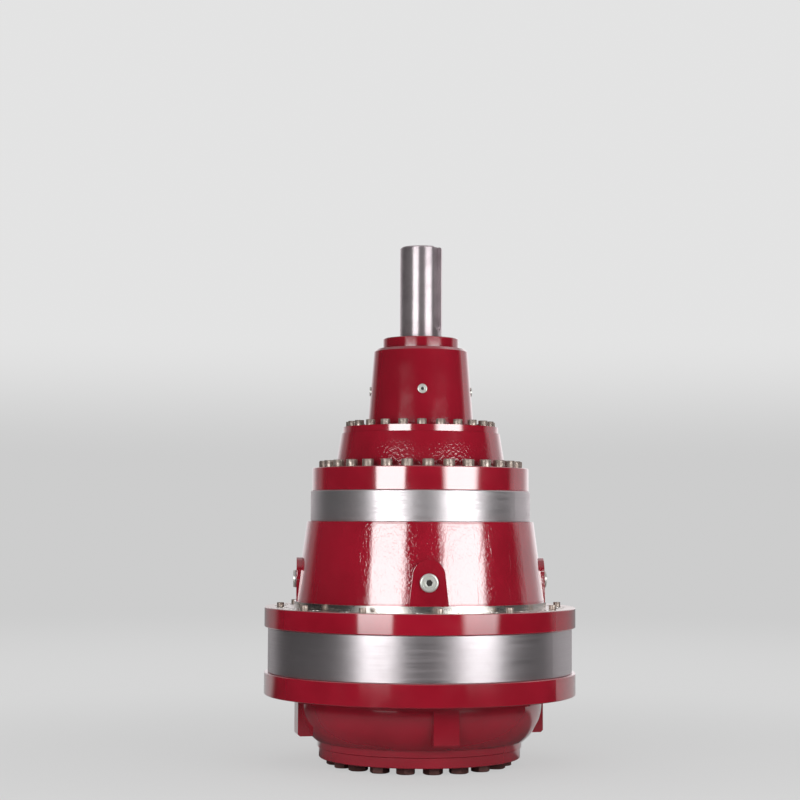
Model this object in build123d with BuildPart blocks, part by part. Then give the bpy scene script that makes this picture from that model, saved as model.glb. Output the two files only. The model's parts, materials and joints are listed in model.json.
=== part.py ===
from build123d import *
from math import acos, asin, atan, cos, degrees, pi, radians, sin, tan
import os

# A three-stage planetary gearbox, standing on its output end with the input shaft up.
# Millimetres, +Z up, the axis of rotation on Z, the base plane at the lowest screw heads.

os.makedirs("parts", exist_ok=True)

# Heights of the outer pieces, from the base up
base_head_height = 10.0
seal_cover_thickness = 15.0
foot_height = 10.0
bowl_height = 55.0
spigot_height = 8.0
lower_flange_thickness = 31.0
ring_3_width = 63.0
upper_flange_thickness = 28.0
register_height = 8.0
cone_height = 112.0
ring_2_width = 43.0
cover_flange_thickness = 32.5
cover_cone_height = 49.5
input_flange_thickness = 9.0
input_cone_height = 112.0
neck_height = 15.0
shaft_stick_out = 132.0

# The levels that these heights add up to
cover_bottom = base_head_height
foot_bottom = cover_bottom + seal_cover_thickness
bowl_bottom = foot_bottom + foot_height
spigot_bottom = bowl_bottom + bowl_height
lower_flange_bottom = spigot_bottom + spigot_height
ring_3_bottom = lower_flange_bottom + lower_flange_thickness
ring_3_top = ring_3_bottom + ring_3_width
upper_flange_top = ring_3_top + upper_flange_thickness
cone_bottom = upper_flange_top + register_height
ring_2_bottom = cone_bottom + cone_height
ring_2_top = ring_2_bottom + ring_2_width
cover_flange_top = ring_2_top + cover_flange_thickness
input_flange_bottom = cover_flange_top + cover_cone_height
input_flange_top = input_flange_bottom + input_flange_thickness
neck_bottom = input_flange_top + input_cone_height
neck_top = neck_bottom + neck_height
shaft_top = neck_top + shaft_stick_out

# Outer radii
seal_cover_radius = 142.0
foot_radius = 144.0
bowl_bottom_radius = 148.0
bowl_middle_radius = 167.0
bowl_middle_share = 0.45
bowl_top_radius = 172.0
spigot_radius = 180.0
rib_radius = 176.0
flange_radius = 220.0
ring_3_radius = 215.0
register_radius = 178.5
cone_bottom_radius = 176.0
cone_top_radius = 161.0
ring_2_radius = 156.0
cover_flange_radius = 154.0
cover_cone_bottom_radius = 121.0
cover_cone_top_radius = 113.0
input_flange_radius = 110.7
input_cone_bottom_radius = 75.7
input_cone_top_radius = 66.6
neck_radius = 54.0
input_shaft_radius = 30.0

# Directions, in degrees, counted from the front; the keyway of the input shaft is on +X
keyway_direction = 57.0
front = -keyway_direction
rib_direction = 11.8
oil_plug_direction = 4.0
input_plug_direction = 2.0
base_screw_direction = 9.0
cover_screw_direction = 4.5
input_screw_direction = 1.0
upper_flange_screw_direction = 7.5
lower_flange_screw_direction = 22.5

# Gaps between pieces
press_gap = 0.05
thread_gap = 0.1
running_gap = 0.1
clear_gap = 0.5
seal_gap = 0.2
flank_play = 0.22

# Edge breaks and the fillets between cast faces
edge_chamfer = 1.0
shaft_chamfer = 2.0
shoulder_chamfer = 4.0
casting_fillet = 3.0

# The three planetary stages: stage 1 is at the input, stage 3 at the output
pressure_angle = radians(20)
addendum = 1.0
dedendum = 1.25
ring_addendum = 0.9
module_3 = 6.0
sun_3_teeth = 16
planet_3_teeth = 20
planet_3_count = 4
module_2 = 4.0
sun_2_teeth = 18
planet_2_teeth = 21
planet_2_count = 3
module_1 = 3.0
sun_1_teeth = 18
planet_1_teeth = 21
planet_1_count = 3
ring_3_teeth = sun_3_teeth + 2 * planet_3_teeth
ring_2_teeth = sun_2_teeth + 2 * planet_2_teeth
ring_1_teeth = sun_1_teeth + 2 * planet_1_teeth
orbit_3 = module_3 * (sun_3_teeth + planet_3_teeth) / 2
orbit_2 = module_2 * (sun_2_teeth + planet_2_teeth) / 2
orbit_1 = module_1 * (sun_1_teeth + planet_1_teeth) / 2

# Ring gear registers, in which the housings are centred
ring_3_register_radius = 182.0
ring_3_register_depth = 4.0
ring_2_register_radius = 129.0
ring_2_register_depth = 3.0
register_wall = 4.0

# Fasteners: radius of the screw, of its head and the head's height
m6_radius, m6_head_radius, m6_head_height = 3.0, 5.0, 6.0
m8_radius, m8_head_radius, m8_head_height = 4.0, 6.5, 8.0
m10_radius, m10_head_radius, m10_head_height = 5.0, 8.0, 10.0
m16_radius, m16_across_flats = 8.0, 24.0
hole_allowance = 0.5
mounting_hole_radius = 8.75
mounting_hole_count = 24
mounting_circle_radius = 198.0
flange_screw_count = 12
flange_screw_depth = 18.0
base_screw_count = 20
base_screw_circle_radius = 118.0
base_screw_depth = 26.0
cover_screw_count = 30
cover_screw_circle_radius = 137.0
cover_screw_depth = 25.0
input_screw_count = 24
input_screw_circle_radius = 100.0
input_screw_depth = 18.0

# The output shaft and its bearings
hub_bottom = 9.0
seal_track_radius = 66.0
shaft_seal_outer_radius = 82.0
shaft_seal_width = 10.0
lock_nut_bottom = 22.0
lock_nut_height = 10.0
lock_nut_radius = 84.0
lock_nut_slot_width = 10.0
lock_nut_slot_depth = 5.0
lower_bearing_bore = 70.0
lower_bearing_outer = 95.0
lower_bearing_width = 24.0
lower_roller_radius = 5.75
lower_roller_length = 15.0
upper_bearing_bore = 85.0
upper_bearing_outer = 115.0
upper_bearing_width = 38.0
upper_roller_radius = 7.5
upper_roller_length = 26.0
main_roller_count = 24
bearing_web_height = 6.0
bearing_web_lip = 4.0
bearing_angle = radians(14)
lower_bearing_bottom = lock_nut_bottom + lock_nut_height
bearing_web_bottom = lower_bearing_bottom + lower_bearing_width
upper_bearing_bottom = bearing_web_bottom + bearing_web_height
upper_bearing_top = upper_bearing_bottom + upper_bearing_width
pilot_bore_radius = 54.0
pilot_bore_length = 10.0
spline_teeth = 32
spline_module = 3.0
spline_bore_radius = spline_module * spline_teeth / 2 - 1.5
spline_root_radius = spline_bore_radius + 3.0
spline_length = 50.0
inner_pilot_radius = 44.0
inner_pilot_length = 18.0

# The output carrier
carrier_3_radius = 152.0
carrier_3_plate = 20.0
carrier_3_window_gap = 3.0
carrier_3_bridge_inner = 88.0
carrier_3_bore = 58.0
carrier_3_shoulder = 4.0
pin_3_radius = 22.0
planet_3_bore = 34.0
planet_3_roller_count = 14
pin_seat_depth = 22.0

# Inner space of the output and intermediate housings
carrier_3_room = 157.0
bearing_tube_wall = 12.0
bowl_wall = 15.0
pocket_floor_height = 8.0
plate_room_height = 24.0
cone_wall = 17.0
screw_land_radius = ring_2_register_radius - register_wall
screw_land_height = 30.0
web_thickness = 12.0
web_hole_radius = 17.0
web_hole_circle_radius = 113.0
web_hole_count = 6
middle_bearing_bottom = 262.0
middle_bearing_bore = 45.0
middle_bearing_outer = 70.0
middle_bearing_width = 24.0
middle_roller_radius = 6.5
middle_roller_count = 16
middle_seat_wall = 14.0
middle_seat_lip = 5.0

# Ribs and bosses on the castings
rib_width = 35.0
rib_bottom = 42.0
rib_chamfer = 3.0
boss_width = 44.0
boss_foot_width = 53.0
boss_face_radius = 175.5
boss_arch_level = 267.5
oil_plug_level = 259.0
plug_count = 4
oil_plug_head_radius = 12.0
oil_plug_head_height = 3.0
oil_plug_thread_radius = 9.0
oil_plug_thread_length = 14.0
oil_plug_socket = 8.0
oil_plug_socket_depth = 5.0
oil_washer_radius = 12.6
oil_washer_thickness = 1.5
input_plug_level = 525.5
input_plug_head_radius = 6.6
input_plug_head_height = 2.0
input_plug_thread_radius = 5.0
input_plug_thread_length = 12.0
input_plug_seat_radius = 71.0
input_plug_seat_room = 1.0

# The middle shaft: sun gear of stage 3 in the carrier of stage 2
sun_3_shank_radius = 36.0
sun_3_spline_radius = 30.0
sun_3_shank_top = 250.0
sun_3_top = 330.0
carrier_2_radius = 108.0
carrier_2_lower_plate = 20.0
carrier_2_upper_plate = 14.0
carrier_2_window_gap = 2.5
carrier_2_bridge_inner = 62.0
carrier_2_bore = 44.0
carrier_2_hub_radius = 52.0
pin_2_radius = 12.0
bush_2_wall = 3.0
carrier_2_room = 112.0

# The input side: sun gear of stage 2 in the carrier of stage 1
sun_2_shank_radius = 24.0
carrier_1_radius = 84.0
carrier_1_lower_plate = 11.5
carrier_1_upper_plate = 10.0
carrier_1_window_gap = 2.0
carrier_1_bridge_inner = 46.0
carrier_1_bore = 34.0
carrier_1_hub_radius = 36.0
carrier_1_hub_length = 13.0
pin_1_radius = 12.0
carriers_gap = 0.9
ring_1_radius = 101.0
ring_1_width = 36.0
ring_1_shoulder_radius = 91.0
ring_1_shoulder = 23.0
circlip_width = 3.0
circlip_bite = 2.0
circlip_reach = 5.0
input_spigot_height = 6.0
input_spigot_wall = 7.0
input_bearing_bore = 32.5
input_bearing_outer = 55.0
input_bearing_width = 22.0
input_roller_radius = 6.5
input_roller_count = 14
input_bearing_floor = 13.0
input_bearing_span = 97.0
input_shoulder_radius = 36.0
input_spacer_wall = 4.0
input_seal_radius = 42.5
input_seal_track_radius = 32.0
input_seal_width = 10.0
input_seal_lip_radius = 46.0
sun_1_shank_radius = 16.0
sun_1_shank_length = 74.0
input_shaft_bottom_gap = 5.0
keyway_width = 18.0
keyway_depth = 7.0
keyway_length = 121.0

# Joint seals between the stage 3 ring gear and the housings
seal_ring_section = 3.0
seal_ring_3_radius = 185.5
seal_groove_room = 0.2


def save(piece, name):
    """Label a finished piece and write it."""
    piece.part.label = name
    export_step(piece.part, f"parts/{name}.step")


def at(radius, angle):
    """The point at a radius and an angle in radians about the origin."""
    return (radius * cos(angle), radius * sin(angle))


def involute(angle):
    return tan(angle) - angle


def gear_face(teeth, module, above, below, play, tooth_on_x=True):
    """The face inside a toothed outline. The flanks are involutes, each drawn as the arc through three of its
    points, and run straight to the root below the base circle. A tooth is thinner than half the pitch by play;
    with a negative play it is the space of a ring gear, which is wider."""
    pitch_radius = module * teeth / 2
    base_radius = pitch_radius * cos(pressure_angle)
    tip_radius = pitch_radius + above * module
    root_radius = pitch_radius - below * module
    flank_start = max(base_radius, root_radius)
    flank_radii = (flank_start, (flank_start + tip_radius) / 2, tip_radius)
    middle_angle = pi / (2 * teeth) - play / (2 * pitch_radius) + involute(pressure_angle)
    half_angles = [middle_angle - involute(acos(min(1, base_radius / radius))) for radius in flank_radii]
    pitch_angle = 2 * pi / teeth
    first = 0 if tooth_on_x else pitch_angle / 2
    with BuildSketch() as face:
        with BuildLine():
            for tooth in range(teeth):
                centre = first + tooth * pitch_angle
                rising = [at(radius, centre - half) for radius, half in zip(flank_radii, half_angles)]
                falling = [at(radius, centre + half) for radius, half in zip(flank_radii, half_angles)]
                root_half = half_angles[0]
                if flank_start > root_radius:
                    Line(at(root_radius, centre - root_half), rising[0])
                    Line(falling[0], at(root_radius, centre + root_half))
                ThreePointArc(*rising)
                ThreePointArc(rising[2], at(tip_radius, centre), falling[2])
                ThreePointArc(*falling)
                ThreePointArc(
                    at(root_radius, centre + root_half),
                    at(root_radius, centre + pitch_angle / 2),
                    at(root_radius, centre + pitch_angle - root_half),
                )
        make_face()
    return face.sketch


def ring_gear_opening(teeth, module, tooth_on_x):
    """The opening of a ring gear, whose spaces are the teeth of the outline."""
    return gear_face(teeth, module, dedendum, ring_addendum, -flank_play, not tooth_on_x)


def radial_plane(direction, radius, level):
    """A plane facing out from the axis, with its own y pointing up."""
    angle = radians(front + direction)
    outward = (cos(angle), sin(angle), 0)
    sideways = (-sin(angle), cos(angle), 0)
    return Plane(origin=(radius * cos(angle), radius * sin(angle), level), x_dir=sideways, z_dir=outward)


def quarter_directions(first):
    return [first + 90 * quarter for quarter in range(plug_count)]


def turned_ring(inner, outer, bottom, height):
    """A plain ring about the axis."""
    with BuildPart() as ring:
        with BuildSketch(Plane.XY.offset(bottom)):
            Circle(outer)
            Circle(inner, mode=Mode.SUBTRACT)
        extrude(amount=height)
    return ring


def cap_screws(name, count, circle, direction, under_head, length, radius, head_radius, head_height):
    """Socket head screws on a circle, pointing down from the level under their heads."""
    with BuildPart() as screws:
        with BuildSketch(Plane.XY.offset(under_head)):
            with PolarLocations(circle, count, start_angle=front + direction):
                Circle(head_radius)
        extrude(amount=head_height)
        chamfer(screws.edges().group_by(Axis.Z)[-1], head_radius / 10)
        with BuildSketch(Plane.XY.offset(under_head)):
            with PolarLocations(circle, count, start_angle=front + direction):
                Circle(radius)
        extrude(amount=-length)
    save(screws, name)


# Output housing: the bowl with its foot, the mounting spigot and the lower flange
rib_level = (rib_bottom + lower_flange_bottom) / 2
with BuildPart() as output_housing:
    with BuildSketch(Plane.XZ):
        with BuildLine():
            bowl_middle_level = bowl_bottom + bowl_middle_share * bowl_height
            Polyline(
                (0, foot_bottom),
                (foot_radius, foot_bottom),
                (foot_radius, bowl_bottom),
                (bowl_bottom_radius, bowl_bottom),
            )
            ThreePointArc(
                (bowl_bottom_radius, bowl_bottom),
                (bowl_middle_radius, bowl_middle_level),
                (bowl_top_radius, spigot_bottom),
            )
            Polyline(
                (bowl_top_radius, spigot_bottom),
                (spigot_radius, spigot_bottom),
                (spigot_radius, lower_flange_bottom),
                (flange_radius, lower_flange_bottom),
                (flange_radius, ring_3_bottom),
                (0, ring_3_bottom),
                (0, foot_bottom),
            )
        make_face()
    revolve(axis=Axis.Z)
    flange_edges = output_housing.edges().filter_by(GeomType.CIRCLE)
    chamfer(flange_edges.filter_by(lambda edge: abs(edge.radius - flange_radius) < 0.01), edge_chamfer)
    # Centring ring for the ring gear
    with BuildSketch(Plane.XY.offset(ring_3_bottom)):
        Circle(ring_3_register_radius - press_gap)
    extrude(amount=ring_3_register_depth)
    # Ribs under the spigot
    for direction in quarter_directions(rib_direction):
        with BuildSketch(radial_plane(direction, foot_radius - bowl_wall, rib_level)):
            Rectangle(rib_width, lower_flange_bottom - rib_bottom)
        rib = extrude(amount=rib_radius - foot_radius + bowl_wall)
    rib_corners = output_housing.edges().filter_by(lambda edge: abs(edge.center().Z - rib_bottom) < 0.01)
    rib_corners = rib_corners.filter_by(GeomType.LINE)
    chamfer(
        rib_corners.filter_by(lambda edge: Vector(edge.center().X, edge.center().Y).length > rib_radius - 1),
        rib_chamfer,
    )
    # Seats of the two bearings, with a web between them
    with BuildSketch(Plane.XY.offset(foot_bottom)):
        Circle(lower_bearing_outer + press_gap)
    extrude(amount=bearing_web_bottom - foot_bottom, mode=Mode.SUBTRACT)
    with BuildSketch(Plane.XY.offset(bearing_web_bottom)):
        Circle(lower_bearing_outer - bearing_web_lip)
    extrude(amount=bearing_web_height, mode=Mode.SUBTRACT)
    with BuildSketch(Plane.XY.offset(upper_bearing_bottom)):
        Circle(upper_bearing_outer + press_gap)
    extrude(amount=upper_bearing_width, mode=Mode.SUBTRACT)
    # Room for the carrier
    with BuildSketch(Plane.XY.offset(upper_bearing_top)):
        Circle(carrier_3_room)
    extrude(amount=ring_3_bottom + ring_3_register_depth - upper_bearing_top, mode=Mode.SUBTRACT)
    with BuildSketch(Plane.XY.offset(ring_3_bottom - 1)):
        Circle(ring_3_register_radius - register_wall)
    extrude(amount=1 + ring_3_register_depth, mode=Mode.SUBTRACT)
    # Cast pocket between the bearing tube and the bowl
    tube_radius = upper_bearing_outer + bearing_tube_wall
    pocket_floor = upper_bearing_bottom + pocket_floor_height
    with BuildSketch(Plane.XZ):
        Polygon(
            (tube_radius, pocket_floor),
            (bowl_middle_radius - bowl_wall, pocket_floor),
            (bowl_top_radius - bowl_wall, spigot_bottom),
            (bowl_top_radius - bowl_wall, upper_bearing_top),
            (tube_radius, upper_bearing_top),
            align=None,
        )
    revolve(axis=Axis.Z, mode=Mode.SUBTRACT)
    # Groove for the joint seal
    with BuildSketch(Plane.XY.offset(ring_3_bottom)):
        Circle(seal_ring_3_radius + seal_ring_section / 2 + seal_groove_room)
        Circle(seal_ring_3_radius - seal_ring_section / 2 - seal_groove_room, mode=Mode.SUBTRACT)
    extrude(amount=-seal_ring_section, mode=Mode.SUBTRACT)
    # Mounting holes, counterbored screw holes and the threaded holes in the foot
    with BuildSketch(Plane.XY.offset(lower_flange_bottom)):
        with PolarLocations(mounting_circle_radius, mounting_hole_count, start_angle=front):
            Circle(mounting_hole_radius)
        with PolarLocations(
            mounting_circle_radius, flange_screw_count, start_angle=front + lower_flange_screw_direction
        ):
            Circle(m6_radius + hole_allowance)
    extrude(amount=lower_flange_thickness, mode=Mode.SUBTRACT)
    with BuildSketch(Plane.XY.offset(lower_flange_bottom)):
        with PolarLocations(
            mounting_circle_radius, flange_screw_count, start_angle=front + lower_flange_screw_direction
        ):
            Circle(m6_head_radius + hole_allowance)
    extrude(amount=m6_head_height + hole_allowance, mode=Mode.SUBTRACT)
    with BuildSketch(Plane.XY.offset(foot_bottom)):
        with PolarLocations(
            base_screw_circle_radius, base_screw_count, start_angle=front + base_screw_direction
        ):
            Circle(m16_radius + thread_gap)
    extrude(amount=base_screw_depth, mode=Mode.SUBTRACT)
save(output_housing, "output_housing")

# Seal cover under the foot, with the spigot that holds the lower bearing
with BuildPart() as output_seal_cover:
    with BuildSketch(Plane.XY.offset(cover_bottom)):
        Circle(seal_cover_radius)
        Circle(shaft_seal_outer_radius + press_gap, mode=Mode.SUBTRACT)
        with PolarLocations(
            base_screw_circle_radius, base_screw_count, start_angle=front + base_screw_direction
        ):
            Circle(m16_radius + hole_allowance, mode=Mode.SUBTRACT)
    extrude(amount=seal_cover_thickness)
    cover_rim = output_seal_cover.edges().filter_by(GeomType.CIRCLE)
    chamfer(cover_rim.filter_by(lambda edge: abs(edge.radius - seal_cover_radius) < 0.01), edge_chamfer)
    nut_room = lock_nut_radius + 2 * clear_gap
    with BuildSketch(Plane.XY.offset(foot_bottom)):
        Circle(lower_bearing_outer - press_gap)
        Circle(nut_room + 2, mode=Mode.SUBTRACT)
    extrude(amount=lower_bearing_bottom - foot_bottom - clear_gap / 2)
    with BuildSketch(Plane.XY.offset(cover_bottom + shaft_seal_width + 1)):
        Circle(nut_room)
    extrude(amount=seal_cover_thickness - shaft_seal_width - 1, mode=Mode.SUBTRACT)
save(output_seal_cover, "output_seal_cover")

output_shaft_seal = turned_ring(
    seal_track_radius + seal_gap, shaft_seal_outer_radius, cover_bottom + 1, shaft_seal_width
)
save(output_shaft_seal, "output_shaft_seal")

# Hexagon head screws that hold the seal cover; the gearbox stands on their heads
with BuildPart() as seal_cover_screws:
    with BuildSketch(Plane.XY):
        with PolarLocations(
            base_screw_circle_radius, base_screw_count, start_angle=front + base_screw_direction
        ):
            RegularPolygon(m16_across_flats / 2, 6, major_radius=False)
    extrude(amount=base_head_height)
    with BuildSketch(Plane.XY.offset(base_head_height)):
        with PolarLocations(
            base_screw_circle_radius, base_screw_count, start_angle=front + base_screw_direction
        ):
            Circle(m16_radius)
    extrude(amount=seal_cover_thickness + base_screw_depth - 2)
save(seal_cover_screws, "seal_cover_screws")


def tapered_bearing(name, bore, outer, width, bottom, roller_radius, roller_length, big_end_up):
    """Cup, cone and rollers of a tapered roller bearing. Both raceways and the rollers run to one point on the
    axis, so that the rollers roll without sliding."""
    mean_radius = (bore + outer) / 2
    apex = mean_radius / tan(bearing_angle)
    roller_angle = atan(roller_radius / (mean_radius / sin(bearing_angle)))
    middle = bottom + width / 2
    up = 1 if big_end_up else -1

    def raceway(side, height):
        """A raceway's radius at a height over the middle, counted towards the big ends of the rollers."""
        return (apex + height) * tan(bearing_angle + side * roller_angle) + side * running_gap

    def level(height):
        return middle + up * height

    half = width / 2
    with BuildPart() as cup:
        with BuildSketch(Plane.XZ):
            Polygon(
                (raceway(1, -half), level(-half)),
                (outer, level(-half)),
                (outer, level(half)),
                (raceway(1, half), level(half)),
                align=None,
            )
        revolve(axis=Axis.Z)
    save(cup, f"{name}_cup")
    roller_end = roller_length / 2 * cos(bearing_angle) + (roller_radius + 1) * sin(bearing_angle)
    rib_start = roller_end + clear_gap
    rib_height = roller_radius * 0.6
    with BuildPart() as cone:
        with BuildSketch(Plane.XZ):
            Polygon(
                (bore + press_gap, level(-half)),
                (raceway(-1, -half), level(-half)),
                (raceway(-1, rib_start), level(rib_start)),
                (raceway(-1, rib_start) + rib_height, level(rib_start)),
                (raceway(-1, rib_start) + rib_height, level(half)),
                (bore + press_gap, level(half)),
                align=None,
            )
        revolve(axis=Axis.Z)
    save(cone, f"{name}_cone")
    tilt = degrees(bearing_angle) if big_end_up else 180 - degrees(bearing_angle)
    taper = roller_length / 2 * tan(roller_angle)
    with BuildPart() as rollers:
        with PolarLocations(mean_radius, main_roller_count):
            with Locations(Location((0, 0, middle), (0, tilt, 0))):
                Cone(roller_radius - taper, roller_radius + taper, roller_length)
    save(rollers, f"{name}_rollers")


tapered_bearing(
    "lower_output_bearing",
    lower_bearing_bore,
    lower_bearing_outer,
    lower_bearing_width,
    lower_bearing_bottom,
    lower_roller_radius,
    lower_roller_length,
    big_end_up=False,
)
tapered_bearing(
    "upper_output_bearing",
    upper_bearing_bore,
    upper_bearing_outer,
    upper_bearing_width,
    upper_bearing_bottom,
    upper_roller_radius,
    upper_roller_length,
    big_end_up=True,
)

# Output carrier: the hollow splined output shaft and the cage of the stage 3 planets, one casting
planet_3_bottom = ring_3_bottom + ring_3_register_depth
planet_3_width = ring_3_width - 2 * ring_3_register_depth
carrier_3_bottom = upper_bearing_top + carrier_3_shoulder
carrier_3_floor = planet_3_bottom - clear_gap
carrier_3_ceiling = planet_3_bottom + planet_3_width + clear_gap
carrier_3_top = carrier_3_ceiling + carrier_3_plate
window_3_radius = module_3 * (planet_3_teeth / 2 + addendum) + carrier_3_window_gap
spline_bottom = hub_bottom + pilot_bore_length
spline_top = spline_bottom + spline_length
with BuildPart() as output_carrier:
    with BuildSketch(Plane.XZ):
        Polygon(
            (0, hub_bottom),
            (seal_track_radius, hub_bottom),
            (seal_track_radius, lock_nut_bottom),
            (lower_bearing_bore, lock_nut_bottom),
            (lower_bearing_bore, upper_bearing_bottom - 2),
            (upper_bearing_bore, upper_bearing_bottom - 2),
            (upper_bearing_bore, upper_bearing_top),
            (upper_bearing_bore + carrier_3_shoulder + 2, upper_bearing_top),
            (upper_bearing_bore + carrier_3_shoulder + 2, carrier_3_bottom),
            (carrier_3_radius, carrier_3_bottom),
            (carrier_3_radius, carrier_3_floor),
            (0, carrier_3_floor),
            align=None,
        )
    revolve(axis=Axis.Z)
    # Bridges between the planets
    with BuildSketch(Plane.XY.offset(carrier_3_floor)):
        Circle(carrier_3_radius)
        Circle(carrier_3_bridge_inner, mode=Mode.SUBTRACT)
        with PolarLocations(orbit_3, planet_3_count):
            Circle(window_3_radius, mode=Mode.SUBTRACT)
    extrude(amount=carrier_3_ceiling - carrier_3_floor)
    with BuildSketch(Plane.XY.offset(carrier_3_ceiling)):
        Circle(carrier_3_radius)
        Circle(carrier_3_bore, mode=Mode.SUBTRACT)
    extrude(amount=carrier_3_plate)
    # Seats of the planet pins
    with BuildSketch(Plane.XY.offset(carrier_3_floor - pin_seat_depth)):
        with PolarLocations(orbit_3, planet_3_count):
            Circle(pin_3_radius + press_gap)
    extrude(amount=carrier_3_top - carrier_3_floor + pin_seat_depth, mode=Mode.SUBTRACT)
    # Pilot bores and the splines between them
    with BuildSketch(Plane.XY.offset(hub_bottom)):
        Circle(pilot_bore_radius)
    extrude(amount=pilot_bore_length, mode=Mode.SUBTRACT)
    with BuildSketch(Plane.XY.offset(spline_bottom)):
        Circle(spline_bore_radius)
        with PolarLocations(spline_bore_radius, spline_teeth):
            spline_depth = spline_root_radius - spline_bore_radius
            with BuildLine():
                half_width = pi * spline_bore_radius / spline_teeth / 2
                Polyline(
                    (-1, -half_width),
                    (spline_depth, -half_width / 2),
                    (spline_depth, half_width / 2),
                    (-1, half_width),
                    close=True,
                )
            make_face()
    extrude(amount=spline_length, mode=Mode.SUBTRACT)
    with BuildSketch(Plane.XY.offset(spline_top)):
        Circle(inner_pilot_radius)
    extrude(amount=inner_pilot_length, mode=Mode.SUBTRACT)
    # A bore under the sun gear lightens the middle
    with BuildSketch(Plane.XY.offset(carrier_3_floor)):
        Circle(carrier_3_bore)
    extrude(amount=-carrier_3_plate, mode=Mode.SUBTRACT)
save(output_carrier, "output_carrier")

with BuildPart() as output_lock_nut:
    with BuildSketch(Plane.XY.offset(lock_nut_bottom)):
        Circle(lock_nut_radius)
        Circle(lower_bearing_bore + press_gap, mode=Mode.SUBTRACT)
        with PolarLocations(lock_nut_radius, plug_count):
            Rectangle(2 * lock_nut_slot_depth, lock_nut_slot_width, mode=Mode.SUBTRACT)
    extrude(amount=lock_nut_height)
save(output_lock_nut, "output_lock_nut")


def planet_pins(name, orbit, count, radius, bottom, top):
    """The pins that carry the planets of a stage."""
    with BuildPart() as pins:
        with BuildSketch(Plane.XY.offset(bottom)):
            with PolarLocations(orbit, count):
                Circle(radius)
        extrude(amount=top - bottom)
    save(pins, name)


def planet_gears(name, teeth, module, orbit, count, bore, bottom, width):
    """The planets of a stage, alike and each on its own place. A space faces the tooth of the sun gear, for
    which a planet with an even number of teeth is turned by half a pitch."""
    tooth_faces_out = teeth % 2 == 1
    face = gear_face(teeth, module, addendum, dedendum, flank_play, tooth_faces_out)
    for number in range(count):
        with BuildPart() as planet:
            with BuildSketch(Plane.XY.offset(bottom)):
                with PolarLocations(orbit, 1, start_angle=360 / count * number):
                    add(face)
                    Circle(bore, mode=Mode.SUBTRACT)
            extrude(amount=width)
        save(planet, f"{name}_{number + 1}")


# Stage 3: ring gear, pins, planets and their rollers
with BuildPart() as stage_3_ring_gear:
    opening_3 = ring_gear_opening(ring_3_teeth, module_3, planet_3_teeth % 2 == 0)
    with BuildSketch(Plane.XY.offset(ring_3_bottom)):
        Circle(ring_3_radius)
        add(opening_3, mode=Mode.SUBTRACT)
        with PolarLocations(mounting_circle_radius, mounting_hole_count, start_angle=front):
            Circle(mounting_hole_radius, mode=Mode.SUBTRACT)
    extrude(amount=ring_3_width)
    ring_edges = stage_3_ring_gear.edges().filter_by(GeomType.CIRCLE)
    chamfer(ring_edges.filter_by(lambda edge: abs(edge.radius - ring_3_radius) < 0.01), edge_chamfer)
    for level in (ring_3_bottom, ring_3_top - ring_3_register_depth):
        with BuildSketch(Plane.XY.offset(level)):
            Circle(ring_3_register_radius)
        extrude(amount=ring_3_register_depth, mode=Mode.SUBTRACT)
    for level, direction in (
        (ring_3_bottom, lower_flange_screw_direction),
        (ring_3_top - flange_screw_depth, upper_flange_screw_direction),
    ):
        with BuildSketch(Plane.XY.offset(level)):
            with PolarLocations(mounting_circle_radius, flange_screw_count, start_angle=front + direction):
                Circle(m6_radius + thread_gap)
        extrude(amount=flange_screw_depth, mode=Mode.SUBTRACT)
save(stage_3_ring_gear, "stage_3_ring_gear")

planet_pins(
    "stage_3_planet_pins",
    orbit_3,
    planet_3_count,
    pin_3_radius,
    carrier_3_floor - pin_seat_depth,
    carrier_3_top - 1,
)
planet_gears(
    "stage_3_planet_gear",
    planet_3_teeth,
    module_3,
    orbit_3,
    planet_3_count,
    planet_3_bore,
    planet_3_bottom,
    planet_3_width,
)
roller_orbit = (pin_3_radius + planet_3_bore) / 2
roller_radius = (planet_3_bore - pin_3_radius) / 2 - running_gap
for number in range(planet_3_count):
    with BuildPart() as planet_rollers:
        with PolarLocations(orbit_3, 1, start_angle=360 / planet_3_count * number):
            with PolarLocations(roller_orbit, planet_3_roller_count):
                with Locations((0, 0, planet_3_bottom + 1)):
                    Cylinder(
                        roller_radius, planet_3_width - 2, align=(Align.CENTER, Align.CENTER, Align.MIN)
                    )
    save(planet_rollers, f"stage_3_planet_rollers_{number + 1}")

# Intermediate housing: upper flange, cone with plug bosses and the web that carries the middle bearing
cone_room = ring_3_top + plate_room_height
land_bottom = ring_2_bottom - screw_land_height
web_bottom = middle_bearing_bottom + (middle_bearing_width - web_thickness) / 2
web_top = web_bottom + web_thickness
cone_slope = (cone_bottom_radius - cone_top_radius) / cone_height


def inside_cone(level):
    """The inner radius of the cone's wall."""
    return cone_bottom_radius - cone_slope * (level - cone_bottom) - cone_wall


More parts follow.
